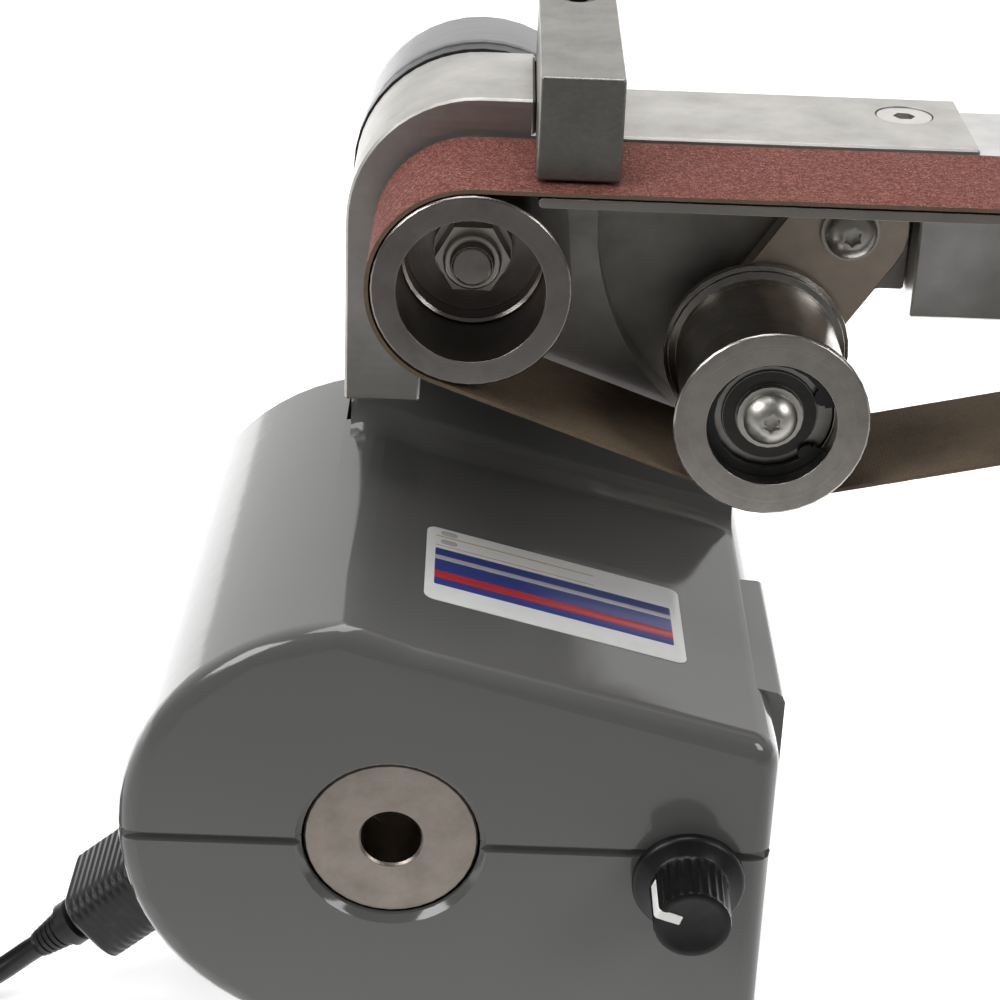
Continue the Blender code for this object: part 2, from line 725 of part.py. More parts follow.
def make_tension_spring():
    """A torsion spring of three turns round the lever's pivot, in the well behind it."""
    turns, steps = 2.6, 34
    start_y = LEVER_FRONT_Y + LEVER_THICK + 2 * SPRING_WIRE_R
    pitch = 2 * SPRING_WIRE_R + 0.1 * mm
    points = []
    for i in range(steps + 1):
        angle = 2 * math.pi * turns * i / steps
        x = PIVOT_X + SPRING_R * math.cos(angle)
        z = PIVOT_Z + SPRING_R * math.sin(angle)
        points.append((x, start_y + pitch * turns * i / steps, z))
    tube("tension_spring", points, SPRING_WIRE_R, ZINC, roundness=1)


def make_spool():
    barrel_y = BELT_FRONT_Y - GAP
    rim_y = BELT_FRONT_Y + BELT_WIDTH + GAP
    seat_r = SPOOL_BORE_R
    groove_y = SPOOL_FRONT_Y + 3.8 * mm
    seat_y = SPOOL_FRONT_Y + 14.5 * mm
    step_r = SPOOL_RIM_R - 0.9 * mm
    points = [
        (seat_r, SPOOL_FRONT_Y),
        (SPOOL_RIM_R - EDGE, SPOOL_FRONT_Y),
        (SPOOL_RIM_R, SPOOL_FRONT_Y + EDGE),
        (SPOOL_RIM_R, barrel_y - 0.7 * mm),
        (SPOOL_BARREL_R, barrel_y),
        (SPOOL_BARREL_R, rim_y),
        (step_r, rim_y + 0.4 * mm),
        (step_r, rim_y + 1.2 * mm),
        (SPOOL_RIM_R, rim_y + 1.5 * mm),
        (SPOOL_RIM_R, SPOOL_REAR_Y - EDGE),
        (SPOOL_RIM_R - EDGE, SPOOL_REAR_Y),
        (9.0 * mm, SPOOL_REAR_Y),
        (9.0 * mm, seat_y),
        (seat_r, seat_y),
        (seat_r, groove_y + 1.5 * mm),
        (seat_r + 0.8 * mm, groove_y + 1.5 * mm),
        (seat_r + 0.8 * mm, groove_y),
        (seat_r, groove_y),
    ]
    spun("spool", points, SPOOL_X, SPOOL_Z, STEEL, steps=36, closed=True)


def make_spool_bearing():
    """A sealed bearing whose inner ring stands a little proud."""
    front_y = SPOOL_FRONT_Y + 5.7 * mm
    rear_y = SPOOL_FRONT_Y + 14.2 * mm
    outer = SPOOL_BORE_R - GAP
    points = [
        (AXLE_R + GAP, front_y - 0.6 * mm),
        (9.3 * mm, front_y - 0.6 * mm),
        (9.3 * mm, front_y),
        (outer, front_y),
        (outer, rear_y),
        (AXLE_R + GAP, rear_y),
    ]
    spun("spool_bearing", points, SPOOL_X, SPOOL_Z, ZINC, steps=32, closed=True)


def make_spool_circlip():
    """An internal retaining ring, open at the right where its two eyes are."""
    front_y = SPOOL_FRONT_Y + 4.0 * mm
    rear_y = front_y + 1.1 * mm
    outer = SPOOL_BORE_R + 0.4 * mm
    clip = ring("spool_circlip", outer - 2.2 * mm, outer, front_y, rear_y, SPOOL_X, SPOOL_Z, DARK_STEEL)
    for name, angle in (("eye_upper", 24.0), ("eye_lower", -44.0)):
        eye_x = SPOOL_X + (outer - 2.2 * mm) * math.cos(math.radians(angle))
        eye_z = SPOOL_Z + (outer - 2.2 * mm) * math.sin(math.radians(angle))
        join(clip, rod("circlip_" + name, 1.7 * mm, front_y, rear_y, eye_x, eye_z, steps=16))
    reach = 2 * outer
    wedge = [(SPOOL_X, SPOOL_Z)]
    wedge += [(SPOOL_X + reach * math.cos(a), SPOOL_Z + reach * math.sin(a)) for a in (-0.56, 0.21)]
    cut(clip, slab("circlip_cut", [wedge], front_y - mm, rear_y + mm))


def make_spool_axle():
    flange_y = SPOOL_REAR_Y - 3.0 * mm
    front_y = SPOOL_FRONT_Y + 5.4 * mm
    rear_y = POCKET_Y - GAP
    hole_r = 3.3 * mm
    hole_y = front_y + 12.0 * mm
    points = [
        (0.0, hole_y),
        (hole_r, hole_y),
        (hole_r, front_y),
        (AXLE_R, front_y),
        (AXLE_R, flange_y),
        (7.5 * mm, flange_y),
        (7.5 * mm, LEVER_FRONT_Y - GAP),
        (AXLE_R, LEVER_FRONT_Y - GAP),
        (AXLE_R, rear_y),
        (0.0, rear_y),
    ]
    spun("spool_axle", points, SPOOL_X, SPOOL_Z, STEEL)


def make_spool_screw():
    front_y = SPOOL_FRONT_Y + 0.5 * mm
    end_y = SPOOL_FRONT_Y + 16.0 * mm
    points = button_points(front_y, 6.4 * mm, 3.0 * mm, end_y, 3.0 * mm, end_y)
    screw = spun("spool_screw", points, SPOOL_X, SPOOL_Z, ZINC)
    socket_cut(screw, SPOOL_X, SPOOL_Z, front_y)


# End roller


def make_end_roller():
    front_y, rear_y = BELT_FRONT_Y - 0.6 * mm, BELT_FRONT_Y + BELT_WIDTH + 0.3 * mm
    ring("end_roller", 9.8 * mm, END_R, front_y, rear_y, END_X, END_Z, STEEL, steps=32, edge=EDGE)
    ring("end_bush", STUD_R + GAP, 9.5 * mm, 3.0 * mm, rear_y, END_X, END_Z, BRONZE)


def make_end_axle():
    flange_y = BELT_FRONT_Y + BELT_WIDTH + 0.6 * mm
    rear_y = FRAME_FRONT_Y + BAR_BACK_DEPTH
    hole_r = 2.8 * mm
    points = [
        (0.0, 14.0 * mm),
        (hole_r, 14.0 * mm),
        (hole_r, 3.0 * mm),
        (STUD_R, 3.0 * mm),
        (STUD_R, flange_y),
        (6.5 * mm, flange_y),
        (6.5 * mm, FRAME_FRONT_Y - GAP),
        (STUD_R, FRAME_FRONT_Y - GAP),
        (STUD_R, rear_y),
        (0.0, rear_y),
    ]
    spun("end_axle", points, END_X, END_Z, STEEL)


def make_end_screw():
    head_y = 3.0 * mm - GAP
    points = [(0.0, 0.6 * mm), (6.0 * mm, 0.6 * mm), (7.0 * mm, 1.4 * mm), (7.0 * mm, head_y)]
    points += [(2.5 * mm, head_y), (2.5 * mm, 13.0 * mm), (0.0, 13.0 * mm)]
    screw = spun("end_screw", points, END_X, END_Z, ZINC)
    socket_cut(screw, END_X, END_Z, 0.6 * mm, depth=1.2 * mm)


# Platen and work rest


def platen_screw_places():
    return [("platen_screw_left", 106.0 * mm), ("platen_screw_right", END_X - 29.0 * mm)]


def platen_screw_z():
    return PLATEN_TOP_Z - PLATEN_THICK - 4.4 * mm


def make_platen():
    """A strip with a round nose, and a flange down its rear edge along the bar."""
    right_x = END_X - END_R - 3.0 * mm
    low_z = PLATEN_TOP_Z - PLATEN_THICK
    rear_y = FRAME_FRONT_Y - GAP
    nose = arc(PLATEN_X + PLATEN_THICK / 2, PLATEN_TOP_Z - PLATEN_THICK / 2, PLATEN_THICK / 2, 270, 90, 6)
    section = nose + [(right_x, PLATEN_TOP_Z), (right_x, low_z)]
    platen = slab("platen", [section], 0.4 * mm, rear_y, STEEL)
    flange_x = ARM_END_X + 8.0 * mm
    flange = box(
        "platen_flange",
        (flange_x, rear_y - 1.8 * mm, low_z - 8.5 * mm),
        (right_x - 6.0 * mm, rear_y, low_z + 0.5 * mm),
    )
    join(platen, flange)
    for name, x in platen_screw_places():
        cut(platen, rod(name + "_hole", 2.2 * mm, 30 * mm, 36 * mm, x, platen_screw_z(), steps=20))


def make_platen_screws():
    head_rear_y = FRAME_FRONT_Y - 1.8 * mm - 2 * GAP
    front_y = head_rear_y - 1.9 * mm
    for name, x in platen_screw_places():
        points = [(0.0, front_y), (2.4 * mm, front_y), (3.6 * mm, front_y + 1.0 * mm)]
        points += [(3.6 * mm, head_rear_y), (1.9 * mm, head_rear_y), (1.9 * mm, 43.5 * mm)]
        spun(name, points + [(0.0, 43.5 * mm)], x, platen_screw_z(), DARK_STEEL, steps=20)


def rest_screw_at():
    return (SHOULDER_X + GAP + REST_WIDTH / 2, FRAME_REAR_Y - 4.9 * mm)


def rest_screw_low():
    return ARM_TOP_Z - 12.0 * mm


def make_work_rest():
    low = (SHOULDER_X + GAP, REST_FRONT_Y, ARM_TOP_Z + GAP)
    top_z = low[2] + REST_HEIGHT
    high = (low[0] + REST_WIDTH, FRAME_REAR_Y - GAP, top_z)
    rest = box("work_rest", low, high, STEEL, bevel=0.6 * mm)
    x, y = rest_screw_at()
    sink = pillar("rest_sink_cut", 4.25 * mm, top_z - 5.6 * mm, top_z + mm, x, y)
    hole = pillar("rest_hole_cut", 2.8 * mm, 0.0, top_z, x, y)
    slot = box("rest_slot_cut", (x - 4.25 * mm, y, top_z - 5.6 * mm), (x + 4.25 * mm, 80 * mm, 60 * mm))
    cut(rest, sink, slot, hole)
    head = [(0.0, top_z - 0.6 * mm), (3.9 * mm, top_z - 0.6 * mm), (3.9 * mm, top_z - 5.3 * mm)]
    head += [(2.5 * mm, top_z - 5.3 * mm), (2.5 * mm, rest_screw_low()), (0.0, rest_screw_low())]
    screw = turned("rest_screw", head, (x, y, 0.0), "up", DARK_STEEL, 24)
    profile = hex_profile(2.3 * mm, top_z - 0.6 * mm)
    cut(screw, turned("rest_screw_socket", profile, (x, y, 0.0), "up", None, 6))


# Back plate, cover and toothed drive


def arch(x, z, radius, bottom_z, count=20):
    """An outline with a half-round top and straight sides."""
    return arc(x, z, radius, 180.0, 0.0, count) + [(x + radius, bottom_z), (x - radius, bottom_z)]


def make_back_plate():
    centre_x = FRAME_CORNER_R - FRAME_LEFT
    centre_z = FRAME_TOP_Z - FRAME_CORNER_R
    bottom_z = HOUSING_BOTTOM_Z + HOUSING_WALL + 4.0 * mm
    outline = arch(centre_x, centre_z, PLATE_R, bottom_z)
    holes = [circle(0.0, 0.0, SHAFT_R + 1.0 * mm), circle(SPINDLE_X, SPINDLE_Z, 8.0 * mm)]
    holes += [circle(x, z, 2.8 * mm, 16) for _, x, z in frame_screw_places()]
    holes += [circle(x, z, 2.2 * mm, 16) for _, x, z in cover_screw_places()]
    rear_y = PLATE_FRONT_Y + PLATE_THICK
    slab("back_plate", [outline, *holes], PLATE_FRONT_Y, rear_y, BLACK_PAINT)


def cover_centre():
    return (0.5 * mm, 2.6 * mm)


def cover_screw_places():
    x, z = cover_centre()
    return [
        ("cover_screw_top_left", x - 16.0 * mm, z + 10.0 * mm),
        ("cover_screw_top_right", x + 16.0 * mm, z + 10.0 * mm),
        ("cover_screw_low", x + 17.0 * mm, z - 48.0 * mm),
    ]


def make_drive_cover():
    x, z = cover_centre()
    bottom_z = SLOPE_TOP_Z - 14.0 * mm
    cover = slab("drive_cover", [arch(x, z, COVER_R, bottom_z)], COVER_FRONT_Y, COVER_REAR_Y, GREY_PAINT)
    round_edges(cover, 1.0 * mm, 2)
    inner = arch(x, z, COVER_R - COVER_WALL, bottom_z - 2.0 * mm)
    cut(cover, slab("cover_hollow", [inner], COVER_FRONT_Y - mm, COVER_REAR_Y - COVER_WALL))
    for name, screw_x, screw_z in cover_screw_places():
        rear_y = COVER_REAR_Y + mm
        cut(cover, rod(name + "_hole", 2.2 * mm, 80 * mm, rear_y, screw_x, screw_z, steps=20))


def make_cover_screws():
    head_y = COVER_REAR_Y + GAP
    end_y = PLATE_FRONT_Y + 1.0 * mm
    for name, x, z in cover_screw_places():
        points = [(0.0, end_y), (1.9 * mm, end_y), (1.9 * mm, head_y), (3.6 * mm, head_y)]
        points += [(3.3 * mm, head_y + 1.3 * mm), (0.0, head_y + 1.5 * mm)]
        spun(name, points, x, z, DARK_STEEL, steps=20)


def pitch_radius(teeth):
    return teeth * TOOTH_PITCH / (2 * math.pi)


def make_pulley(name, teeth, bore_r, x, z):
    """A toothed pulley's outer shape, between two flanges."""
    seat_r = pitch_radius(teeth) - 0.65 * mm
    rim_r = seat_r + 2.3 * mm
    rear_y = PULLEY_Y + PULLEY_WIDTH
    points = [
        (bore_r, PULLEY_Y),
        (rim_r, PULLEY_Y),
        (rim_r, PULLEY_Y + PULLEY_FLANGE),
        (seat_r, PULLEY_Y + PULLEY_FLANGE),
        (seat_r, rear_y - PULLEY_FLANGE),
        (rim_r, rear_y - PULLEY_FLANGE),
        (rim_r, rear_y),
        (bore_r, rear_y),
    ]
    spun(name, points, x, z, ALUMINIUM, closed=True)


def make_toothed_drive():
    make_pulley("motor_pulley", MOTOR_TEETH, AXLE_R + GAP, SPINDLE_X, SPINDLE_Z)
    make_pulley("roller_pulley", ROLLER_TEETH, SHAFT_R + GAP, 0.0, 0.0)
    lift = GAP - 0.65 * mm
    circles = [
        (0.0, 0.0, pitch_radius(ROLLER_TEETH) + lift),
        (SPINDLE_X, SPINDLE_Z, pitch_radius(MOTOR_TEETH) + lift),
    ]
    front_y = PULLEY_Y + PULLEY_FLANGE + SLIDE_GAP
    band("drive_belt", circles, 1.6 * mm, front_y, front_y + TOOTHED_WIDTH, BLACK_RUBBER)


# Motor


def hub_end_y():
    return DISC_Y + 18.75 * mm


def make_motor_spindle():
    """The spindle with the chuck disc at its front, in one piece."""
    disc_rear_y = DISC_Y + 6.2 * mm
    hub_r = 9.0 * mm
    end_y = PULLEY_Y + PULLEY_WIDTH + 0.7 * mm
    points = [
        (0.0, DISC_Y + 14.0 * mm),
        (DISC_HOLE_R, DISC_Y + 14.0 * mm),
        (DISC_HOLE_R, DISC_Y + 0.5 * mm),
        (DISC_HOLE_R + 0.5 * mm, DISC_Y),
        (DISC_R - EDGE, DISC_Y),
        (DISC_R, DISC_Y + EDGE),
        (DISC_R, disc_rear_y),
        (hub_r, disc_rear_y),
        (hub_r, hub_end_y()),
        (AXLE_R, hub_end_y()),
        (AXLE_R, end_y),
        (0.0, end_y),
    ]
    spun("motor_spindle", points, SPINDLE_X, SPINDLE_Z, STEEL, steps=36)


def make_motor():
    """The motor's body with a nose that holds the front bearing."""
    nose_y = DISC_Y + 7.8 * mm
    seat_y = nose_y + 9.5 * mm
    pocket_y = hub_end_y() + 0.8 * mm
    rear_y = PLATE_FRONT_Y - GAP
    bore_r = AXLE_R + 0.6 * mm
    points = [
        (16.3 * mm, nose_y),
        (20.0 * mm, nose_y),
        (20.0 * mm, nose_y + 14.0 * mm),
        (MOTOR_R, nose_y + 14.0 * mm),
        (MOTOR_R, rear_y),
        (bore_r, rear_y),
        (bore_r, pocket_y),
        (9.6 * mm, pocket_y),
        (9.6 * mm, seat_y),
        (16.3 * mm, seat_y),
    ]
    spun("motor_body", points, SPINDLE_X, SPINDLE_Z, DARK_STEEL, steps=28, closed=True)
    bearing_y = nose_y + 0.4 * mm
    ring("spindle_bearing", 9.3 * mm, 16.0 * mm, bearing_y, seat_y - GAP, SPINDLE_X, SPINDLE_Z, ZINC)


# Housing


def deck_z(x, inset=0.0):
    """The height of the sloping deck, or of the surface that lies inset below it."""
    return SLOPE_TOP_Z - SLOPE * (x + 7.0 * mm) - inset * math.hypot(1.0, SLOPE)


def crest_z(x, inset=0.0):
    """The height of the housing's top where its round side eases into its deck."""
    rise = math.sqrt(HOUSING_R**2 - (CREST_X - HOUSING_X) ** 2)
    shrink = (HOUSING_R - inset) / HOUSING_R
    start_x, start_z = HOUSING_X + (CREST_X - HOUSING_X) * shrink, SPINDLE_Z + rise * shrink
    start_slope = (HOUSING_X - CREST_X) / rise
    length = DECK_X - start_x
    t = (x - start_x) / length
    height = (2 * t**3 - 3 * t**2 + 1) * start_z + (3 * t**2 - 2 * t**3) * deck_z(DECK_X, inset)
    return height + ((t**3 - 2 * t**2 + t) * start_slope - (t**3 - t**2) * SLOPE) * length


def top_z(x):
    """The height of the housing's top."""
    if x < CREST_X:
        return SPINDLE_Z + math.sqrt(HOUSING_R**2 - (x - HOUSING_X) ** 2)
    return crest_z(x) if x < DECK_X else deck_z(x)


def housing_outline(inset=0.0):
    """The housing from the front: a round left side, a sloping deck and a square right side."""
    radius = HOUSING_R - inset
    right = HOUSING_RIGHT - inset
    bottom = HOUSING_BOTTOM_Z + inset
    corner = 7.0 * mm - inset
    crest_angle = math.degrees(math.acos((CREST_X - HOUSING_X) / HOUSING_R))
    points = arc(HOUSING_X, SPINDLE_Z, radius, 270.0, crest_angle, 32)
    start_x = points[-1][0]
    for share in (0.17, 0.33, 0.5, 0.67, 0.83, 1.0):
        x = start_x + (DECK_X - start_x) * share
        points.append((x, crest_z(x, inset)))
    top_corner = right - corner
    points += arc(top_corner, deck_z(top_corner, inset) - corner, corner, 75.0, 0.0, 5)
    points += arc(top_corner, bottom + corner, corner, 0.0, -90.0, 5)
    return points


def hollow(name, posts):
    """The space inside a shell, round its screw posts."""
    front_y = HOUSING_FRONT_Y + HOUSING_WALL
    rear_y = HOUSING_REAR_Y - HOUSING_WALL
    space = slab(name, [housing_outline(HOUSING_WALL)], front_y, rear_y)
    cut(space, *posts)
    return space


def shell_blank(name):
    """The housing's outer form, whole, with its front and rear edges rounded."""
    shell = slab(name, [housing_outline()], HOUSING_FRONT_Y, HOUSING_REAR_Y, GREY_PLASTIC)
    round_edges(shell, 4.0 * mm, 3, angle=60.0)
    return shell


def split_box(name, z0, z1, inset=-5.0 * mm):
    low = (HOUSING_X - HOUSING_R + inset, HOUSING_FRONT_Y + inset, z0)
    high = (HOUSING_RIGHT - inset, HOUSING_REAR_Y - inset, z1)
    return box(name, low, high)


def disc_hole(name):
    """The hole for the chuck disc through both shells' front, with a flared lip."""
    clear_r = DISC_R + 0.4 * mm
    points = [
        (0.0, HOUSING_FRONT_Y - mm),
        (clear_r + 2.2 * mm, HOUSING_FRONT_Y - mm),
        (clear_r + 0.8 * mm, HOUSING_FRONT_Y + 0.4 * mm),
        (clear_r, HOUSING_FRONT_Y + 1.4 * mm),
        (clear_r, HOUSING_FRONT_Y + 8.0 * mm),
        (0.0, HOUSING_FRONT_Y + 8.0 * mm),
    ]
    return spun(name, points, SPINDLE_X, SPINDLE_Z, steps=48)


def post_places():
    """Where the four long screws that join the shells stand."""
    left_x, right_x = -40.0 * mm, 56.0 * mm
    return [
        ("front_left", left_x, HOUSING_FRONT_Y + 10.0 * mm),
        ("front_right", right_x, HOUSING_FRONT_Y + 30.0 * mm),
        ("rear_left", left_x, HOUSING_REAR_Y - 10.0 * mm),
        ("rear_right", right_x, HOUSING_REAR_Y - 10.0 * mm),
    ]


def side_pad():
    """The pad on the right side, level with the deck, with its rear end cut off aslant."""
    out_x, in_x = HOUSING_RIGHT + PAD_OUT, HOUSING_RIGHT - 13.0 * mm
    low_z = SPINDLE_Z + 2.4 * mm
    outline = [(in_x, low_z), (in_x, deck_z(in_x) - 0.4 * mm), (out_x - 1.7 * mm, deck_z(out_x) + 0.35 * mm)]
    outline += [(out_x - 0.6 * mm, deck_z(out_x) - 0.45 * mm), (out_x, deck_z(out_x) - 1.7 * mm)]
    outline += [(out_x, low_z + 1.0 * mm), (out_x - 1.0 * mm, low_z)]
    pad = slab("side_pad", [outline], PAD_FRONT_Y, PAD_REAR_Y + 7.0 * mm)
    block = box("pad_end_cut", (-10 * mm, -20 * mm, -40 * mm), (10 * mm, 0.0, 40 * mm))
    block.location = (out_x, PAD_REAR_Y, deck_z(out_x))
    block.rotation_euler = (0.0, 0.0, math.atan2(7.0, -PAD_OUT / mm))
    cut(pad, block)
    return pad


def saddle_z(x):
    return min(SADDLE_TOP_Z, deck_z(x) + 21.7 * mm)


def saddle_outline(inset=0.0, left=SADDLE_LEFT):
    """The raised part of the housing under the frame and beside the cover, from the front."""
    right, corner = SADDLE_RIGHT - inset, 8.0 * mm - inset
    top = [(x, saddle_z(x) - inset) for x in (left + 3.0 * mm, -9.0 * mm) if x > left]
    low_z = SPINDLE_Z + 12.0 * mm
    points = [(left, low_z), (left, saddle_z(left) - inset - 3.0 * mm)]
    points += [(left + 0.9 * mm, saddle_z(left) - inset - 0.9 * mm), *top]
    x = right - corner
    points += arc(x, saddle_z(x) - inset - corner, corner, 75.0, 0.0, 5)
    return points + [(right, low_z)]


def saddle_fillet():
    """The hollow curve that runs up from the deck into the front of the saddle."""
    section = [(-0.6, -3.0), (-0.6, -0.5)]
    for angle in range(0, 91, 15):
        a = math.radians(angle)
        section.append((math.sin(a), 1.0 - math.cos(a) - 0.01))
    section += [(1.2, 1.0), (1.2, -3.0)]
    fillet = bmesh.new()
    rings = []
    for x in (-26.0, -24.5, -23.0, -20.5, -18.0, -15.5, -13.0, -10.5, -8.0, 59.8):
        low_y, low_z = SADDLE_FRONT_Y - SADDLE_FILLET, top_z(x * mm)
        ring = [fillet.verts.new((x * mm, low_y + y * SADDLE_FILLET, low_z + z * SADDLE_FILLET)) for y, z in section]
        rings.append(ring)
    for ring, after in zip(rings, rings[1:]):
        for i in range(len(section)):
            j = (i + 1) % len(section)
            fillet.faces.new((ring[i], ring[j], after[j], after[i]))
    fillet.faces.new(rings[0])
    fillet.faces.new(rings[-1])
    bmesh.ops.recalc_face_normals(fillet, faces=fillet.faces)
    mesh = bpy.data.meshes.new("saddle_fillet")
    fillet.to_mesh(mesh)
    fillet.free()
    return place("saddle_fillet", mesh, (0.0, 0.0, 0.0))


def make_upper_shell():
    shell = shell_blank("upper_shell")
    saddle = slab("saddle", [saddle_outline()], SADDLE_FRONT_Y, SADDLE_REAR_Y)
    round_edges(saddle, 1.2 * mm, 2, angle=60.0)
    join(shell, side_pad(), saddle, saddle_fillet())
    cut(shell, split_box("upper_split", HOUSING_BOTTOM_Z - mm, SPINDLE_Z + GROOVE / 2))
    post_low = SPINDLE_Z + GROOVE / 2 + GAP
    posts = []
    for name, x, y in post_places():
        posts.append(pillar("upper_post_" + name, 3.8 * mm, post_low, SPINDLE_Z + 60 * mm, x, y, steps=12))
    inside = saddle_outline(HOUSING_WALL, 31.0 * mm)
    wall = HOUSING_WALL
    room = slab("saddle_room", [inside], SADDLE_FRONT_Y + wall, SADDLE_REAR_Y - wall)
    cut(shell, hollow("upper_hollow", posts), room, deck_opening(), disc_hole("upper_disc_hole"))
    for name, x, y in post_places():
        top_z = SPINDLE_Z + 14.0 * mm
        cut(shell, pillar("upper_bore_" + name, 1.7 * mm, SPINDLE_Z, top_z, x, y, steps=10))


def deck_opening():
    """The opening in the deck for the back plate and the cover."""
    x, _ = cover_centre()
    reach = PLATE_R + 0.8 * mm
    low = (x - reach, PLATE_FRONT_Y - 0.8 * mm, SPINDLE_Z + 20 * mm)
    return box("deck_opening", low, (x + reach, COVER_REAR_Y + 0.8 * mm, -30 * mm))


def make_lower_shell():
    shell = shell_blank("lower_shell")
    cut(shell, split_box("lower_split", SPINDLE_Z - GROOVE / 2, SPINDLE_Z + HOUSING_R + 20 * mm))
    lip = split_box("lower_lip", SPINDLE_Z - GROOVE, SPINDLE_Z + GROOVE / 2 - GAP, 1.3 * mm)
    join(shell, lip)
    posts = [screw_post(name, x, y) for name, x, y in post_places()]
    space = hollow("lower_hollow", posts)
    bushing = rod("bushing_hole", 3.8 * mm, HOUSING_FRONT_Y - mm, HOUSING_FRONT_Y + 5 * mm, KNOB_X, KNOB_Z)
    inlet_hole = along_inlet("inlet_hole", INLET_HIGH + 2 * GAP, INLET_WIDE + 2 * GAP, 30 * mm, 60 * mm)
    cut(shell, space, disc_hole("lower_disc_hole"), bushing, inlet_hole)
    for name, x, y in post_places():
        cut(shell, screw_bore(name, x, y))


def screw_seat(x):
    """The height of the shoulder that a screw's head pulls up on, above the floor at a post."""
    if x < HOUSING_X:
        return SPINDLE_Z - math.sqrt(HOUSING_R**2 - (x - HOUSING_X) ** 2) + 7.0 * mm
    return HOUSING_BOTTOM_Z + 6.0 * mm


def screw_post(name, x, y):
    top_z, seat_z = SPINDLE_Z + GROOVE / 2, screw_seat(x)
    profile = [(0.0, top_z), (3.8 * mm, top_z), (3.8 * mm, seat_z + 2.2 * mm)]
    profile += [(5.2 * mm, seat_z + 1.4 * mm), (5.2 * mm, seat_z - 30 * mm), (0.0, seat_z - 30 * mm)]
    return turned("lower_post_" + name, profile, (x, y, 0.0), "up", None, 12)


def screw_bore(name, x, y):
    top_z, seat_z = SPINDLE_Z + 5 * mm, screw_seat(x)
    profile = [(0.0, top_z), (2.2 * mm, top_z), (2.2 * mm, seat_z)]
    profile += [(3.8 * mm, seat_z), (3.8 * mm, seat_z - 32 * mm), (0.0, seat_z - 32 * mm)]
    return turned("lower_bore_" + name, profile, (x, y, 0.0), "up", None, 10)


def make_shell_screws():
    for name, x, y in post_places():
        seat_z = screw_seat(x) - GAP
        top_z = SPINDLE_Z + 12.0 * mm
        profile = [(0.0, top_z), (1.4 * mm, top_z), (1.4 * mm, seat_z), (3.3 * mm, seat_z)]
        profile += [(3.3 * mm, seat_z - 2.2 * mm), (0.0, seat_z - 2.2 * mm)]
        turned("shell_screw_" + name, profile, (x, y, 0.0), "up", ZINC, 12)


def foot_places():
    left_x, right_x = -14.0 * mm, 49.0 * mm
    front_y, rear_y = HOUSING_FRONT_Y + 14.0 * mm, HOUSING_REAR_Y - 14.0 * mm
    return [
        ("front_left", left_x, front_y),
        ("front_right", right_x, front_y),
        ("rear_left", left_x, rear_y),
        ("rear_right", right_x, rear_y),
    ]


def make_feet():
    for name, x, y in foot_places():
        at = (x, y, 0.0)
        profile = [(0.0, FOOT_TOP_Z), (FOOT_R - 1.5 * mm, FOOT_TOP_Z)]
        profile += [(FOOT_R - 1.5 * mm, FOOT_TOP_Z - 2 * mm), (FOOT_R, FLOOR_Z + 2 * mm)]
        profile += [(FOOT_R - 1.0 * mm, FLOOR_Z), (0.0, FLOOR_Z)]
        turned("foot_" + name, profile, at, "up", BLACK_RUBBER, 20)


# Speed control


def make_speed_control():
    wall_y = HOUSING_FRONT_Y + HOUSING_WALL + GAP
    bushing_y = HOUSING_FRONT_Y - 4.6 * mm
    shaft_y = KNOB_FRONT_Y + 3.5 * mm
    points = [(0.0, shaft_y), (3.0 * mm, shaft_y), (3.0 * mm, bushing_y), (3.4 * mm, bushing_y)]
    points += [(3.4 * mm, wall_y), (POT_R, wall_y), (POT_R, wall_y + 10 * mm), (0.0, wall_y + 10 * mm)]
    spun("speed_pot", points, KNOB_X, KNOB_Z, BLACK_PLASTIC, steps=24)
    nut_rear_y = HOUSING_FRONT_Y - GAP
    hexagon = circle(KNOB_X, KNOB_Z, 5.8 * mm, 6)
    bore = circle(KNOB_X, KNOB_Z, 3.7 * mm, 20)
    slab("pot_nut", [hexagon, bore], nut_rear_y - 2.0 * mm, nut_rear_y, ZINC)
    board_x = SPINDLE_X + MOTOR_R + 10.0 * mm
    low = (board_x, 2.0 * mm, HOUSING_BOTTOM_Z + 10 * mm)
    box("control_board", low, (board_x + 1.6 * mm, 58.0 * mm, SPINDLE_Z + 20 * mm), GREEN_BOARD)


def make_speed_knob():
    """The knob, hollow behind for the control's nut and shaft."""
    skirt_y = KNOB_BACK_Y - 1.6 * mm
    nut_room_y = HOUSING_FRONT_Y - 5.2 * mm
    points = [
        (0.0, KNOB_FRONT_Y),
        (KNOB_R - 0.8 * mm, KNOB_FRONT_Y),
        (KNOB_R - 0.15 * mm, KNOB_FRONT_Y + 0.6 * mm),
        (KNOB_R, skirt_y - 1.8 * mm),
        (KNOB_R + 0.5 * mm, skirt_y - 1.2 * mm),
        (KNOB_SKIRT_R, skirt_y),
        (KNOB_SKIRT_R, KNOB_BACK_Y),
        (6.5 * mm, KNOB_BACK_Y),
        (6.5 * mm, nut_room_y),
        (3.3 * mm, nut_room_y),
        (3.3 * mm, KNOB_FRONT_Y + 3.1 * mm),
        (0.0, KNOB_FRONT_Y + 3.1 * mm),
    ]
    spun("speed_knob", points, KNOB_X, KNOB_Z, BLACK_PLASTIC, steps=28)


# Mains inlet, connector, cord and plug


def inlet_point(reach, y=INLET_Y):
    """A point on the inlet's axis, at a distance from the axis of the round housing."""
    x = HOUSING_X + reach * math.cos(INLET_ANGLE)
    return Vector((x, y, SPINDLE_Z + reach * math.sin(INLET_ANGLE)))


def inlet_turn():
    return (0.0, math.pi / 2 - INLET_ANGLE, 0.0)


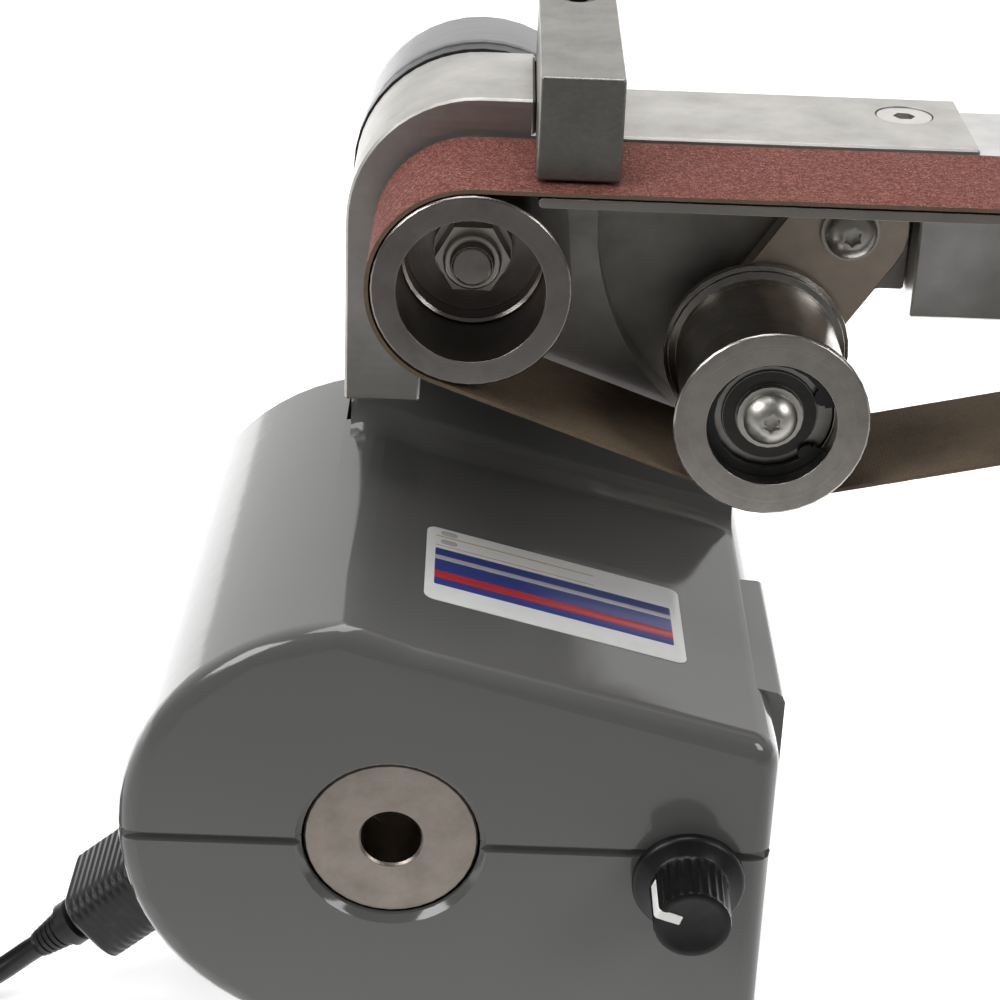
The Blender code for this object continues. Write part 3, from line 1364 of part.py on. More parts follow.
def along_inlet(name, high, wide, near, far, look=None, bevel=0.0):
    """A block along the inlet's axis."""
    half = Vector((high / 2, wide / 2, (far - near) / 2))
    block = box(name, -half, half, look, bevel, 3)
    block.location = inlet_point((near + far) / 2)
    block.rotation_euler = inlet_turn()
    return block


def connector_near():
    return HOUSING_R + 2.4 * mm + GAP


def make_mains_inlet():
    far = connector_near() - GAP
    along_inlet("mains_inlet", INLET_HIGH, INLET_WIDE, 36 * mm, far, BLACK_PLASTIC, 0.8 * mm)


def make_cord_connector():
    near = connector_near()
    far = near + CONNECTOR_LENGTH
    body = along_inlet("cord_connector", CONNECTOR_HIGH, CONNECTOR_WIDE, near, far, BLACK_PLASTIC, 3 * mm)
    profile = [(0.0, BOOT_LENGTH), (CORD_R + 0.3 * mm, BOOT_LENGTH), (4.3 * mm, 4.4 * mm)]
    profile += [(5.4 * mm, 4.2 * mm), (5.4 * mm, 1.6 * mm), (4.6 * mm, -2.0 * mm), (0.0, -2.0 * mm)]
    join(body, turned("connector_boot", profile, inlet_point(far), turn=inlet_turn(), steps=24))


def cord_start():
    return connector_near() + CONNECTOR_LENGTH + BOOT_LENGTH + GAP


def smooth(points, spacing):
    """Points at even steps along a smooth curve through the given ones."""
    ends = [2 * points[0] - points[1], *points, 2 * points[-1] - points[-2]]
    fine = []
    for p0, p1, p2, p3 in zip(ends, ends[1:], ends[2:], ends[3:]):
        for i in range(24):
            t = i / 24
            curve = 2 * p1 + (p2 - p0) * t + (2 * p0 - 5 * p1 + 4 * p2 - p3) * t**2
            curve += (3 * p1 - p0 - 3 * p2 + p3) * t**3
            fine.append(curve / 2)
    fine.append(points[-1])
    kept = [fine[0]]
    for point in fine[1:-1]:
        if (point - kept[-1]).length >= spacing and (point - fine[-1]).length >= spacing / 2:
            kept.append(point)
    return [*kept, fine[-1]]


def lead_points():
    """The cord from the connector down to the bench and along it to its coil."""
    start = inlet_point(cord_start())
    on_bench = FLOOR_Z + CORD_R + 0.1 * mm
    chosen = [
        (-95.3 * mm, 17.0 * mm, FLOOR_Z + 11.6 * mm),
        (-98.7 * mm, 16.6 * mm, FLOOR_Z + 8.9 * mm),
        (-102.6 * mm, 15.6 * mm, FLOOR_Z + 6.4 * mm),
        (-107.0 * mm, 14.0 * mm, FLOOR_Z + 4.4 * mm),
        (-112.0 * mm, 12.0 * mm, on_bench + 0.5 * mm),
        (-118.0 * mm, 10.1 * mm, on_bench),
        (-124.5 * mm, 8.8 * mm, on_bench),
        (-130.5 * mm, 8.3 * mm, on_bench),
        (-136.2 * mm, 8.2 * mm, on_bench),
    ]
    return smooth([start, *map(Vector, chosen)], 5.0 * mm)


def tail_middle():
    """The middle of the round bend between the coil and the plug."""
    reach = COIL_LEAVE_R - TAIL_R
    return (COIL_X + reach * math.cos(COIL_LEAVE), COIL_Y + reach * math.sin(COIL_LEAVE))


def tail_points():
    """The cord's last stretch, off the top of the coil and round into the plug."""
    x, y = tail_middle()
    over = FLOOR_Z + COIL_BUNDLE + CORD_R + 0.5 * mm
    points = []
    for i in range(13):
        share = i / 12
        angle = COIL_LEAVE * (1 - share)
        rise = (plug_cord_z() - over) * share**2 * (3 - 2 * share)
        points.append(Vector((x + TAIL_R * math.cos(angle), y + TAIL_R * math.sin(angle), over + rise)))
    return [*points, Vector((plug_x(), plug_rear_y() + PLUG_BOOT + GAP, plug_cord_z()))]


def plug_low_z():
    return FLOOR_Z + COIL_BUNDLE + 0.8 * mm


def plug_cord_z():
    return plug_low_z() + 6.5 * mm


def plug_x():
    return tail_middle()[0] + TAIL_R


def plug_rear_y():
    return tail_middle()[1] - PLUG_BOOT - 1.0 * mm


def make_cord():
    make_cord_connector()
    tube("mains_cord", lead_points(), CORD_R, BLACK_RUBBER)
    tube("cord_tail", tail_points(), CORD_R, BLACK_RUBBER)
    inner, outer = COIL_MID_R - COIL_BUNDLE / 2, COIL_MID_R + COIL_BUNDLE / 2
    top_z = FLOOR_Z + COIL_BUNDLE
    profile = [(inner, top_z), (outer, top_z), (outer, FLOOR_Z), (inner, FLOOR_Z)]
    turned("cord_coil", profile, (COIL_X, COIL_Y, 0.0), "up", BLACK_RUBBER, 40, closed=True)


def make_mains_plug():
    """A three-pin plug on its back on the coil, pins up."""
    x, rear_y = plug_x(), plug_rear_y()
    low_z, top_z = plug_low_z(), plug_low_z() + PLUG_HIGH
    low = (x - PLUG_WIDE / 2, rear_y - PLUG_LONG, low_z)
    plug = box("mains_plug", low, (x + PLUG_WIDE / 2, rear_y, top_z), BLACK_PLASTIC, 4.0 * mm, 3)
    pins = [("earth", 0.0, -31.0, 4.0, 8.0, 22.7)]
    pins += [("live", 11.1, -9.0, 6.35, 4.0, 17.7), ("neutral", -11.1, -9.0, 6.35, 4.0, 17.7)]
    for name, dx, dy, wide, deep, tall in pins:
        middle = (x + dx * mm, rear_y + dy * mm)
        low = (middle[0] - wide / 2 * mm, middle[1] - deep / 2 * mm, top_z - 2 * mm)
        high = (middle[0] + wide / 2 * mm, middle[1] + deep / 2 * mm, top_z + tall * mm)
        join(plug, box("pin_" + name, low, high))
    points = [(0.0, rear_y - 3 * mm), (4.6 * mm, rear_y - 3 * mm), (4.6 * mm, rear_y + 1 * mm)]
    points += [(CORD_R + 0.4 * mm, rear_y + PLUG_BOOT), (0.0, rear_y + PLUG_BOOT)]
    join(plug, spun("plug_boot", points, x, plug_cord_z(), steps=24))


def make_everything():
    make_abrasive_belt()
    make_drive_roller()
    make_roller_shaft()
    make_roller_nut()
    make_shaft_bearings()
    make_frame()
    make_frame_screws()
    make_extension_bar()
    make_bar_screw()
    make_tension_lever()
    make_lever_screw()
    make_tension_spring()
    make_spool()
    make_spool_bearing()
    make_spool_circlip()
    make_spool_axle()
    make_spool_screw()
    make_end_roller()
    make_end_axle()
    make_end_screw()
    make_platen()
    make_platen_screws()
    make_work_rest()
    make_back_plate()
    make_drive_cover()
    make_cover_screws()
    make_toothed_drive()
    make_motor_spindle()
    make_motor()
    make_upper_shell()
    make_lower_shell()
    make_shell_screws()
    make_feet()
    make_speed_control()
    make_speed_knob()
    make_mains_inlet()
    make_cord()
    make_mains_plug()


clear_scene()
PARTS = new_collection("belt_grinder")
CUTTERS = new_collection("cutters")
DATUM_EMPTY = new_datum()
make_everything()
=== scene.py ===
"""Looks for the belt grinder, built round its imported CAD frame.

Places are given in millimetres from the centre of the drive roller's front face, with +X to
the right, +Y to the rear and +Z up, as in the part's own source. at() turns them into metres
in the frame's coordinates.
"""

import math

import bmesh
import bpy
from mathutils import Matrix, Vector, noise


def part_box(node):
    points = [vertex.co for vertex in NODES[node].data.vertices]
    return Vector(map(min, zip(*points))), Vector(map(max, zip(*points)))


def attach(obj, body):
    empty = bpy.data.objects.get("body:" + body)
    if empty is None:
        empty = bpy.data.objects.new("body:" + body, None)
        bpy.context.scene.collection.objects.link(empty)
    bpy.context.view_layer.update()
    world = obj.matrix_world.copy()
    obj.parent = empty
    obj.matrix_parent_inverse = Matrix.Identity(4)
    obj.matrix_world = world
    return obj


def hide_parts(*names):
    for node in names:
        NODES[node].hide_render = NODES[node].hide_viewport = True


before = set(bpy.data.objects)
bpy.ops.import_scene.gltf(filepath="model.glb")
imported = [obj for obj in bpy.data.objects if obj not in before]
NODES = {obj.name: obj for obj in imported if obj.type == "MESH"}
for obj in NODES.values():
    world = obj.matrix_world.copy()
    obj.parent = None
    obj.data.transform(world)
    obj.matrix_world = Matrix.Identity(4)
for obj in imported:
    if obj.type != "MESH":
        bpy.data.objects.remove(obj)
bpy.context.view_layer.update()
mm = 0.001

roller_low, roller_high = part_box("drive_roller")
ORIGIN = Vector(
    ((roller_low.x + roller_high.x) / 2, roller_low.y, (roller_low.z + roller_high.z) / 2)
)


def at(x, y, z):
    return ORIGIN + Vector((x, y, z)) * mm


# Sizes that the CAD frame has too, in millimetres

LIFT = 0.3  # the gap between a roller and the belt, or a piece and the cord
FLOOR = -181.1  # the bench under the feet

# Rollers: the axis's x and z, and the radius
DRIVE = (0.0, 0.0, 19.1)
END = (211.0, 6.4, 12.7)
SPOOL = (58.6, -24.2, 16.6)
BELT_FRONT, BELT_REAR, BELT_THICK = 0.2, 32.2, 0.8

# The x and z of the axes of the motor's spindle and the knob, and of the deck's upper end
SPINDLE = (-12.0, -104.8)
KNOB = (46.7, -109.5)
DECK_START, DECK_SLOPE = (-8.0, -61.036), 0.2604

# The mains inlet, and its connector's two ends along the inlet's axis
INLET_ANGLE = math.radians(220)
INLET_CENTRE = (-18.0, 17.0, -104.8)
CONNECTOR_NEAR, CONNECTOR_FAR = 50.7, 83.7
BOOT_LONG = 13.0

# The cord, its coil and the bend that leaves it
CORD_R = 2.6
CORD_ON_BENCH = FLOOR + CORD_R + 0.1
COIL_X, COIL_MID_R, COIL_BUNDLE = -156.0, 31.0, 15.8
COIL_Y = 17.0 - 8.8 + COIL_MID_R + COIL_BUNDLE / 2 - CORD_R
CORD_ON_COIL = FLOOR + COIL_BUNDLE + CORD_R + 0.5
COIL_LEAVE_R, COIL_LEAVE, TAIL_R = 29.0, math.radians(108), 21.5

# The plug, lying on the coil with its pins up
PLUG_BOOT = 10.0
PLUG_LOW, PLUG_TALL = FLOOR + COIL_BUNDLE + 0.8, 20.0
PLUG_CORD = PLUG_LOW + 6.5
PLUG_WIDE, PLUG_LONG = 48.0, 40.0

# How bright the studio's back is, as the floor gives light and as the world does
BACK_GLOW = 2.5
STUDIO_GLOW = 1.25


# Camera


def make_camera():
    """The camera, from its place, its pitch below level, its yaw and its roll."""
    pitch, yaw, roll = (math.radians(a) for a in (26.338, -0.490, -2.277))
    turn = Matrix.Rotation(yaw, 3, "Z")
    right = turn @ Vector((1.0, 0.0, 0.0))
    ahead = turn @ Vector((0.0, math.cos(pitch), -math.sin(pitch)))
    down = turn @ Vector((0.0, -math.sin(pitch), -math.cos(pitch)))
    side = math.cos(roll) * right + math.sin(roll) * down
    below = math.cos(roll) * down - math.sin(roll) * right
    lens = bpy.data.cameras.new("camera")
    lens.sensor_width = 36.0
    lens.lens = 87.43
    lens.clip_start = 0.01
    camera = bpy.data.objects.new("camera", lens)
    basis = Matrix((side, -below, -ahead)).transposed().to_4x4()
    camera.matrix_world = Matrix.Translation(at(3.41, -426.48, 167.92)) @ basis
    bpy.context.scene.collection.objects.link(camera)
    bpy.context.scene.camera = camera


make_camera()


# Materials


class Shading:
    """A Principled material, with short names for the nodes that feed it."""

    def __init__(self, name, colour, roughness, metallic=0.0, **values):
        self.material = bpy.data.materials.new(name)
        self.material.use_nodes = True
        self.material.diffuse_color = (*colour, 1.0)
        self.tree = self.material.node_tree
        self.shader = self.tree.nodes["Principled BSDF"]
        self.shader.inputs["Base Color"].default_value = (*colour, 1.0)
        self.shader.inputs["Roughness"].default_value = roughness
        self.shader.inputs["Metallic"].default_value = metallic
        for key, value in values.items():
            self.shader.inputs[key.replace("_", " ")].default_value = value

    def node(self, kind, inputs=(), **settings):
        made = self.tree.nodes.new(kind)
        for key, value in settings.items():
            setattr(made, key, value)
        for key, value in dict(inputs).items():
            if isinstance(value, bpy.types.NodeSocket):
                self.tree.links.new(value, made.inputs[key])
            else:
                made.inputs[key].default_value = value
        return made

    def place(self, scale=(1.0, 1.0, 1.0), centre=(0.0, 0.0, 0.0)):
        """Object coordinates measured from centre, then scaled."""
        source = self.node("ShaderNodeTexCoord").outputs["Object"]
        moved = self.node("ShaderNodeVectorMath", {0: source, 1: centre}, operation="SUBTRACT")
        return self.node(
            "ShaderNodeVectorMath", {0: moved.outputs[0], 1: scale}, operation="MULTIPLY"
        ).outputs[0]

    def math(self, operation, a, b=0.0):
        return self.node("ShaderNodeMath", {0: a, 1: b}, operation=operation).outputs[0]

    def scaled(self, value, factor, start):
        """start plus factor times value."""
        values = {0: value, 1: factor, 2: start}
        return self.node("ShaderNodeMath", values, operation="MULTIPLY_ADD").outputs[0]

    def noise(self, vector, scale, detail=3.0, roughness=0.55):
        values = {"Vector": vector, "Scale": scale, "Detail": detail, "Roughness": roughness}
        return self.node("ShaderNodeTexNoise", values).outputs["Fac"]

    def ramp(self, value, stops):
        """stops are (place, value or colour) pairs."""
        made = self.node("ShaderNodeValToRGB", {"Fac": value})
        marks = made.color_ramp.elements
        while len(marks) < len(stops):
            marks.new(0.5)
        for mark, (where, shade) in zip(marks, stops):
            mark.position = where
            mark.color = (*shade, 1.0) if hasattr(shade, "__len__") else (shade, shade, shade, 1.0)
        return made.outputs["Color"]

    def mix(self, share, a, b):
        """Goes from a to b, each a colour or a socket, as share goes from 0 to 1."""
        made = self.node("ShaderNodeMix", data_type="RGBA")
        for index, value in ((0, share), (6, a), (7, b)):
            if isinstance(value, bpy.types.NodeSocket):
                self.tree.links.new(value, made.inputs[index])
            else:
                made.inputs[index].default_value = value if index == 0 else (*value, 1.0)
        return made.outputs[2]

    def bump(self, height, strength, distance):
        values = {"Height": height, "Strength": strength, "Distance": distance}
        made = self.node("ShaderNodeBump", values).outputs["Normal"]
        self.tree.links.new(made, self.shader.inputs["Normal"])

    def feed(self, socket, value):
        self.tree.links.new(value, self.shader.inputs[socket])


def radial(shading, x, z):
    """The distance from an axis along Y, in millimetres."""
    spot = at(x, 0.0, z)
    moved = shading.place((1000.0, 0.0, 1000.0), (spot.x, 0.0, spot.z))
    return shading.node("ShaderNodeVectorMath", {0: moved}, operation="LENGTH").outputs["Value"]


ZONE_REACH = 20.0
# Painted shadow: the black that stands in for the shade inside the spool's bore
BEARING_SHADOW_BLACK = (0.012, 0.012, 0.012)


def turned_metal(name, x, z, colour, roughness=0.26, rings=1.0, zones=None):
    """Steel turned on a lathe about an axis along Y: fine rings, with a little staining.

    zones are (share of ZONE_REACH from the axis, share of black) pairs. The black is painted
    shadow, a dark ring laid into the colour where shade falls inside a bore.
    """
    made = Shading(name, colour, roughness, 1.0, Anisotropic=0.45)
    distance = radial(made, x, z)
    along = made.node("ShaderNodeSeparateXYZ", {0: made.place((0.0, 1000.0, 0.0))}).outputs["Y"]
    across = made.node("ShaderNodeCombineXYZ", {"X": distance, "Y": along}).outputs[0]
    fine = made.noise(across, 9.0, 2.0, 0.7)
    coarse = made.noise(across, 1.7, 2.0)
    stain = made.noise(made.place(), 160.0, 5.0, 0.65)
    stained = made.ramp(stain, [(0.35, 0.0), (0.75, 1.0)])
    base = made.mix(stained, colour, [c * 0.72 for c in colour])
    if zones:
        share = made.math("DIVIDE", distance, ZONE_REACH)
        # Painted shadow: black mixed over the rings that the zones give about the axis
        base = made.mix(made.ramp(share, zones), base, BEARING_SHADOW_BLACK)
    made.feed("Base Color", base)
    both = made.math("ADD", fine, coarse)
    made.feed("Roughness", made.scaled(both, 0.16, roughness - 0.14))
    height = made.math("ADD", fine, made.math("MULTIPLY", coarse, 0.7))
    made.bump(height, 0.30 * rings, 0.00006)
    return made.material


def milled_metal(
    name, colour, grain=(20.0, 600.0, 600.0), roughness=0.36, strength=0.25, mottle=0.75
):
    """Milled and rubbed aluminium or steel, with its grain along the short scale's axis."""
    made = Shading(name, colour, roughness, 1.0)
    streak = made.noise(made.place(grain), 1.6, 4.0, 0.65)
    cloud = made.noise(made.place(), 90.0, 4.0, 0.6)
    worn = made.ramp(cloud, [(0.30, 0.0), (0.72, 1.0)])
    streaked = made.mix(streak, [c * 0.86 for c in colour], [min(1.0, c * 1.12) for c in colour])
    darker = made.mix(worn, streaked, [c * mottle for c in colour])
    made.feed("Base Color", darker)
    both = made.math("ADD", streak, cloud)
    made.feed("Roughness", made.scaled(both, 0.22, roughness - 0.2))
    made.bump(streak, strength, 0.00012)
    return made.material


def blasted_metal(name, colour, roughness=0.52):
    """Bead-blasted steel."""
    made = Shading(name, colour, roughness, 1.0)
    grain = made.noise(made.place(), 2600.0, 2.0, 0.6)
    cloud = made.noise(made.place(), 220.0, 3.0)
    made.feed("Base Color", made.mix(cloud, [c * 0.8 for c in colour], [c * 1.15 for c in colour]))
    made.bump(grain, 0.5, 0.00008)
    return made.material


def plated_metal(name, colour, roughness=0.24):
    """Zinc plate or polished stainless on a screw or nut."""
    made = Shading(name, colour, roughness, 1.0)
    cloud = made.noise(made.place(), 420.0, 4.0, 0.6)
    made.feed("Base Color", made.mix(cloud, [c * 0.72 for c in colour], colour))
    made.feed("Roughness", made.scaled(cloud, 0.2, roughness - 0.08))
    made.bump(cloud, 0.12, 0.00005)
    return made.material


def glossy_plastic(name, colour, roughness=0.13):
    """Moulded plastic with a faint orange peel and a few fine rub marks."""
    made = Shading(name, colour, roughness, 0.0, IOR=1.52)
    peel = made.noise(made.place(), 130.0, 2.0, 0.5)
    tint = made.noise(made.place(), 30.0, 3.0, 0.5)
    made.feed("Base Color", made.mix(tint, [c * 0.95 for c in colour], [c * 1.05 for c in colour]))
    rub = made.noise(made.place((60.0, 900.0, 300.0)), 1.0, 3.0, 0.7)
    rough = made.ramp(rub, [(0.45, roughness), (0.80, roughness + 0.10)])
    made.feed("Roughness", rough)
    made.bump(peel, 0.10, 0.0003)
    return made.material


def moulded_black(name, colour=(0.012, 0.012, 0.012), roughness=0.4, grain=1500.0):
    """Black moulded plastic or rubber with a fine spark-eroded grain."""
    made = Shading(name, colour, roughness, Specular_IOR_Level=0.3)
    fine = made.noise(made.place(), grain, 2.0, 0.6)
    dust = made.noise(made.place(), 260.0, 5.0, 0.7)
    lighter = [min(1.0, c * 2.2 + 0.004) for c in colour]
    made.feed("Base Color", made.mix(made.ramp(dust, [(0.5, 0.0), (0.8, 1.0)]), colour, lighter))
    made.bump(fine, 0.35, 0.00006)
    return made.material


def grit_cloth():
    """The belt's outside: reddish-brown grit bonded to cloth."""
    made = Shading("belt_grit", (0.20, 0.075, 0.055), 0.82, Specular_IOR_Level=0.12)
    spot = made.place()
    grain = made.noise(spot, 2300.0, 3.0, 0.8)
    clump = made.noise(spot, 1000.0, 3.0, 0.6)
    patch = made.noise(spot, 70.0, 3.0, 0.6)
    shades = [(0.035, 0.010, 0.008), (0.135, 0.044, 0.034), (0.42, 0.20, 0.165)]
    both = made.math("ADD", made.math("MULTIPLY", grain, 0.7), made.math("MULTIPLY", clump, 0.3))
    colour = made.ramp(both, list(zip((0.36, 0.50, 0.66), shades)))
    worn = made.math("MULTIPLY", patch, 0.35)
    made.feed("Base Color", made.mix(worn, colour, (0.13, 0.045, 0.035)))
    made.bump(grain, 0.9, 0.00020)
    return made.material


def backing_cloth():
    """The belt's inside and edges: tan twill backing, rubbed grey in places."""
    made = Shading("belt_backing", (0.17, 0.125, 0.08), 0.85, Specular_IOR_Level=0.2)
    spot = made.place()
    values = {"Vector": spot, "Scale": 480.0, "Distortion": 1.5}
    weave_x = made.node("ShaderNodeTexWave", values, bands_direction="X")
    weave_y = made.node("ShaderNodeTexWave", values, bands_direction="Y")
    weave = made.math("MULTIPLY", weave_x.outputs["Fac"], weave_y.outputs["Fac"])
    fibre = made.noise(spot, 1500.0, 4.0, 0.7)
    rub = made.noise(spot, 110.0, 4.0, 0.6)
    tan = made.mix(fibre, (0.075, 0.052, 0.034), (0.18, 0.135, 0.09))
    rubbed = made.ramp(rub, [(0.45, 0.0), (0.8, 0.6)])
    made.feed("Base Color", made.mix(rubbed, tan, (0.06, 0.05, 0.042)))
    made.bump(made.math("ADD", weave, made.math("MULTIPLY", fibre, 0.6)), 0.5, 0.00010)
    return made.material


TURNED = (0.42, 0.395, 0.365)
ALUMINIUM = milled_metal("milled_aluminium", (0.47, 0.455, 0.43), roughness=0.46)
BAR_METAL = milled_metal("rubbed_bar", (0.60, 0.595, 0.58), (20.0, 700.0, 700.0), 0.40)
REST_METAL = milled_metal("ground_steel", (0.25, 0.24, 0.22), (500.0, 60.0, 700.0), 0.42, 0.4, 0.7)
PLATEN_METAL = milled_metal("platen_steel", (0.34, 0.32, 0.29), (30.0, 500.0, 500.0), 0.33)
LEVER_METAL = blasted_metal("blasted_steel", (0.58, 0.50, 0.42))
PLATED = plated_metal("plated_steel", (0.62, 0.60, 0.56), 0.32)
DARK_METAL = blasted_metal("black_oxide", (0.045, 0.045, 0.045), 0.42)
SPRING_METAL = plated_metal("spring_wire", (0.38, 0.37, 0.35), 0.3)
HOUSING = glossy_plastic("housing_plastic", (0.096, 0.096, 0.093), 0.10)
COVER = glossy_plastic("cover_paint", (0.115, 0.115, 0.115), 0.30)
BLACK_PAINT = moulded_black("satin_black_paint", (0.012, 0.012, 0.013), 0.35, 700.0)
BLACK_PLASTIC = moulded_black("black_moulding")
KNOB_PLASTIC = moulded_black("knob_moulding", (0.004, 0.004, 0.004), 0.36, 2200.0)
RUBBER = moulded_black("foot_rubber", (0.016, 0.016, 0.016), 0.72, 900.0)
CORD_RUBBER = moulded_black("cord_sheath", (0.011, 0.011, 0.011), 0.38, 700.0)
BRONZE = blasted_metal("sintered_bronze", (0.34, 0.20, 0.09), 0.45)
BOARD = moulded_black("board_lacquer", (0.012, 0.07, 0.03), 0.35, 500.0)
WHITE_INK = moulded_black("white_inlay", (0.80, 0.80, 0.77), 0.45, 900.0)
GRIT = grit_cloth()
CLOTH = backing_cloth()


def paint(material, *names):
    """Puts a material in every slot of the CAD nodes."""
    for name in names:
        for slot in NODES[name].material_slots:
            slot.material = material


def named(*starts):
    """The CAD nodes whose names start with any of the given words."""
    return [name for name in NODES if name.startswith(starts)]


def paint_frame_nodes():
    """Gives every CAD node its material. The lathe's rings follow each turned part's own axis."""
    paint(ALUMINIUM, "frame")
    paint(BAR_METAL, "extension_bar")
    paint(REST_METAL, "work_rest")
    paint(PLATEN_METAL, "platen")
    paint(LEVER_METAL, "tension_lever")

    steel = turned_metal("drive_roller_steel", *DRIVE[:2], (0.31, 0.285, 0.265), 0.2)
    paint(steel, "drive_roller", "roller_shaft")
    steel = turned_metal("pulley_metal", *DRIVE[:2], (0.5, 0.5, 0.49))
    paint(steel, "roller_pulley", "front_bearing", "rear_bearing")
    steel = turned_metal("spindle_steel", *SPINDLE, (0.28, 0.245, 0.215), 0.30)
    paint(steel, "motor_spindle", "motor_pulley")
    steel = turned_metal("spool_steel", *SPOOL[:2], TURNED, 0.22)
    paint(steel, "spool", "spool_axle")
    # Painted shadow: a ring 85% black from 6.7 to 9 mm off the spool bearing's axis, where its
    # bore is in shade
    shadow_ring = [(0.0, 0.0), (0.325, 0.0), (0.335, 0.85), (0.45, 0.85), (0.46, 0.0), (1.0, 0.0)]
    steel = turned_metal("bearing_steel", *SPOOL[:2], (0.34, 0.33, 0.31), 0.3, 0.6, shadow_ring)
    paint(steel, "spool_bearing")
    steel = turned_metal("end_roller_steel", *END[:2], TURNED)
    paint(steel, "end_roller", "end_axle")

    paint(PLATED, "roller_nut", "pot_nut", "spindle_bearing", *named("shell_screw"))
    paint(PLATED, "lever_screw", "spool_screw", "bar_screw", "end_screw")
    paint(DARK_METAL, "spool_circlip", "rest_screw", "motor_body")
    paint(DARK_METAL, *named("frame_screw", "platen_screw", "cover_screw"))
    paint(SPRING_METAL, "tension_spring")
    paint(HOUSING, "upper_shell", "lower_shell")
    paint(COVER, "drive_cover")
    paint(BLACK_PAINT, "back_plate")
    paint(BLACK_PLASTIC, "mains_inlet", "speed_pot")
    paint(RUBBER, "drive_belt", *named("foot_"))
    paint(BRONZE, "end_bush")
    paint(BOARD, "control_board")


def soften(name, width, segments=2):
    """Shades a CAD node smooth, with a small round on its sharp edges."""
    node = NODES[name]
    normals = node.data.attributes.get("custom_normal")
    if normals:
        node.data.attributes.remove(normals)
    node.data.shade_smooth()
    weld = node.modifiers.new("weld", "WELD")
    weld.merge_threshold = 0.00001
    bevel = node.modifiers.new("edge", "BEVEL")
    bevel.width = width * mm
    bevel.segments = segments
    bevel.limit_method = "ANGLE"
    bevel.angle_limit = math.radians(32)
    weighted = node.modifiers.new("normals", "WEIGHTED_NORMAL")
    weighted.weight = 60


# New pieces


def piece(name, shape, materials, body):
    """A bmesh, with vertices in metres in the frame's coordinates, as a piece on a body."""
    bmesh.ops.recalc_face_normals(shape, faces=shape.faces)
    mesh = bpy.data.meshes.new(name)
    shape.to_mesh(mesh)
    shape.free()
    made = bpy.data.objects.new(name, mesh)
    bpy.context.scene.collection.objects.link(made)
    for material in materials:
        mesh.materials.append(material)
    mesh.shade_smooth()
    mesh.set_sharp_from_angle(angle=math.radians(38))
    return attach(made, body)


def arc(x, z, radius, start, end, step):
    """Points round a circle, from one angle to another in degrees."""
    count = max(2, math.ceil(abs(end - start) / step))
    angles = [math.radians(start + (end - start) * i / count) for i in range(count + 1)]
    return [Vector((x + radius * math.cos(a), z + radius * math.sin(a))) for a in angles]


def belt_line(extra, spacing=1.6):
    """Points of the belt's inside, round the three rollers, moved outwards by extra."""
    circles = [DRIVE, END, SPOOL]
    turns = []
    for (x0, z0, r0), (x1, z1, r1) in zip(circles, circles[1:] + circles[:1]):
        heading = math.degrees(math.atan2(z1 - z0, x1 - x0))
        tilt = math.degrees(math.asin((r1 - r0) / math.hypot(x1 - x0, z1 - z0)))
        turns.append(heading + 90.0 + tilt)
    line = []
    for i, (x, z, radius) in enumerate(circles):
        start, end = turns[i - 1], turns[i]
        while end > start:
            end -= 360.0
        here = arc(x, z, radius + LIFT, start, end, 4.0)
        if line:
            line += straight(line[-1], here[0], spacing)
        line += here
    line += straight(line[-1], line[0], spacing)
    return offset(line, extra)


def straight(start, end, spacing):
    """Points between two others, without them."""
    count = max(1, round((end - start).length / spacing))
    return [start.lerp(end, i / count) for i in range(1, count)]


def offset(line, extra):
    """The closed line, moved outwards by extra."""
    moved = []
    for before, here, after in zip(line[-1:] + line[:-1], line, line[1:] + line[:1]):
        along = (after - before).normalized()
        moved.append(here + Vector((-along.y, along.x)) * extra)
    return moved


def make_belt():
    """The abrasive belt, grit outside and cloth inside, with slightly frayed edges."""
    fray_margin, fray_depth = 0.17, 0.16
    shares = [0.0, 0.012, 0.25, 0.5, 0.75, 0.988, 1.0]
    inner, outer = belt_line(0.0), belt_line(BELT_THICK)
    width = BELT_REAR - BELT_FRONT
    shape = bmesh.new()
    rings = []
    for k, (low, high) in enumerate(zip(inner, outer)):
        fray_front = fray_depth * noise.noise(Vector((k * 0.71, 3.1, 0.0)))
        fray_rear = fray_depth * noise.noise(Vector((k * 0.67, 9.7, 0.0)))
        start = BELT_FRONT + fray_margin + fray_front
        span = width - 2 * fray_margin + fray_rear - fray_front
        ring = []
        for line, order in ((high, shares), (low, shares[::-1])):
            for share in order:
                ring.append(shape.verts.new(at(line.x, start + span * share, line.y)))
        rings.append(ring)
    grit_faces = len(shares) - 1
    for ring, following in zip(rings, rings[1:] + rings[:1]):
        for j in range(len(ring)):
            nxt = (j + 1) % len(ring)
            face = shape.faces.new((ring[j], ring[nxt], following[nxt], following[j]))
            face.material_index = 0 if j < grit_faces else 1
    belt = piece("sanding_belt", shape, [GRIT, CLOTH], "base")
    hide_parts("abrasive_belt")


def revolve(shape, profile, x, z, steps, flute=None):
    """Adds a surface turned about an axis along Y, and returns its rings.

    profile is (radius, y) pairs. flute gives how far the surface is cut in at an angle and y.
    """
    rings = []
    for radius, y in profile:
        if radius == 0.0:
            rings.append([shape.verts.new(at(x, y, z))])
            continue
        ring = []
        for i in range(steps):
            angle = 2 * math.pi * i / steps
            reach = radius - (flute(angle, y) if flute else 0.0)
            spot = at(x + reach * math.cos(angle), y, z + reach * math.sin(angle))
            ring.append(shape.verts.new(spot))
        rings.append(ring)
    for upper, lower in zip(rings, rings[1:]):
        bridge(shape, upper, lower)
    return rings


def bridge(shape, upper, lower):
    """Faces between two rings of points, either of which may be a single point."""
    count = max(len(upper), len(lower))
    for i in range(count):
        j = (i + 1) % count
        if len(upper) == 1:
            corners = (upper[0], lower[i], lower[j])
        elif len(lower) == 1:
            corners = (upper[i], lower[0], upper[j])
        else:
            corners = (upper[i], lower[i], lower[j], upper[j])
        shape.faces.new(corners)


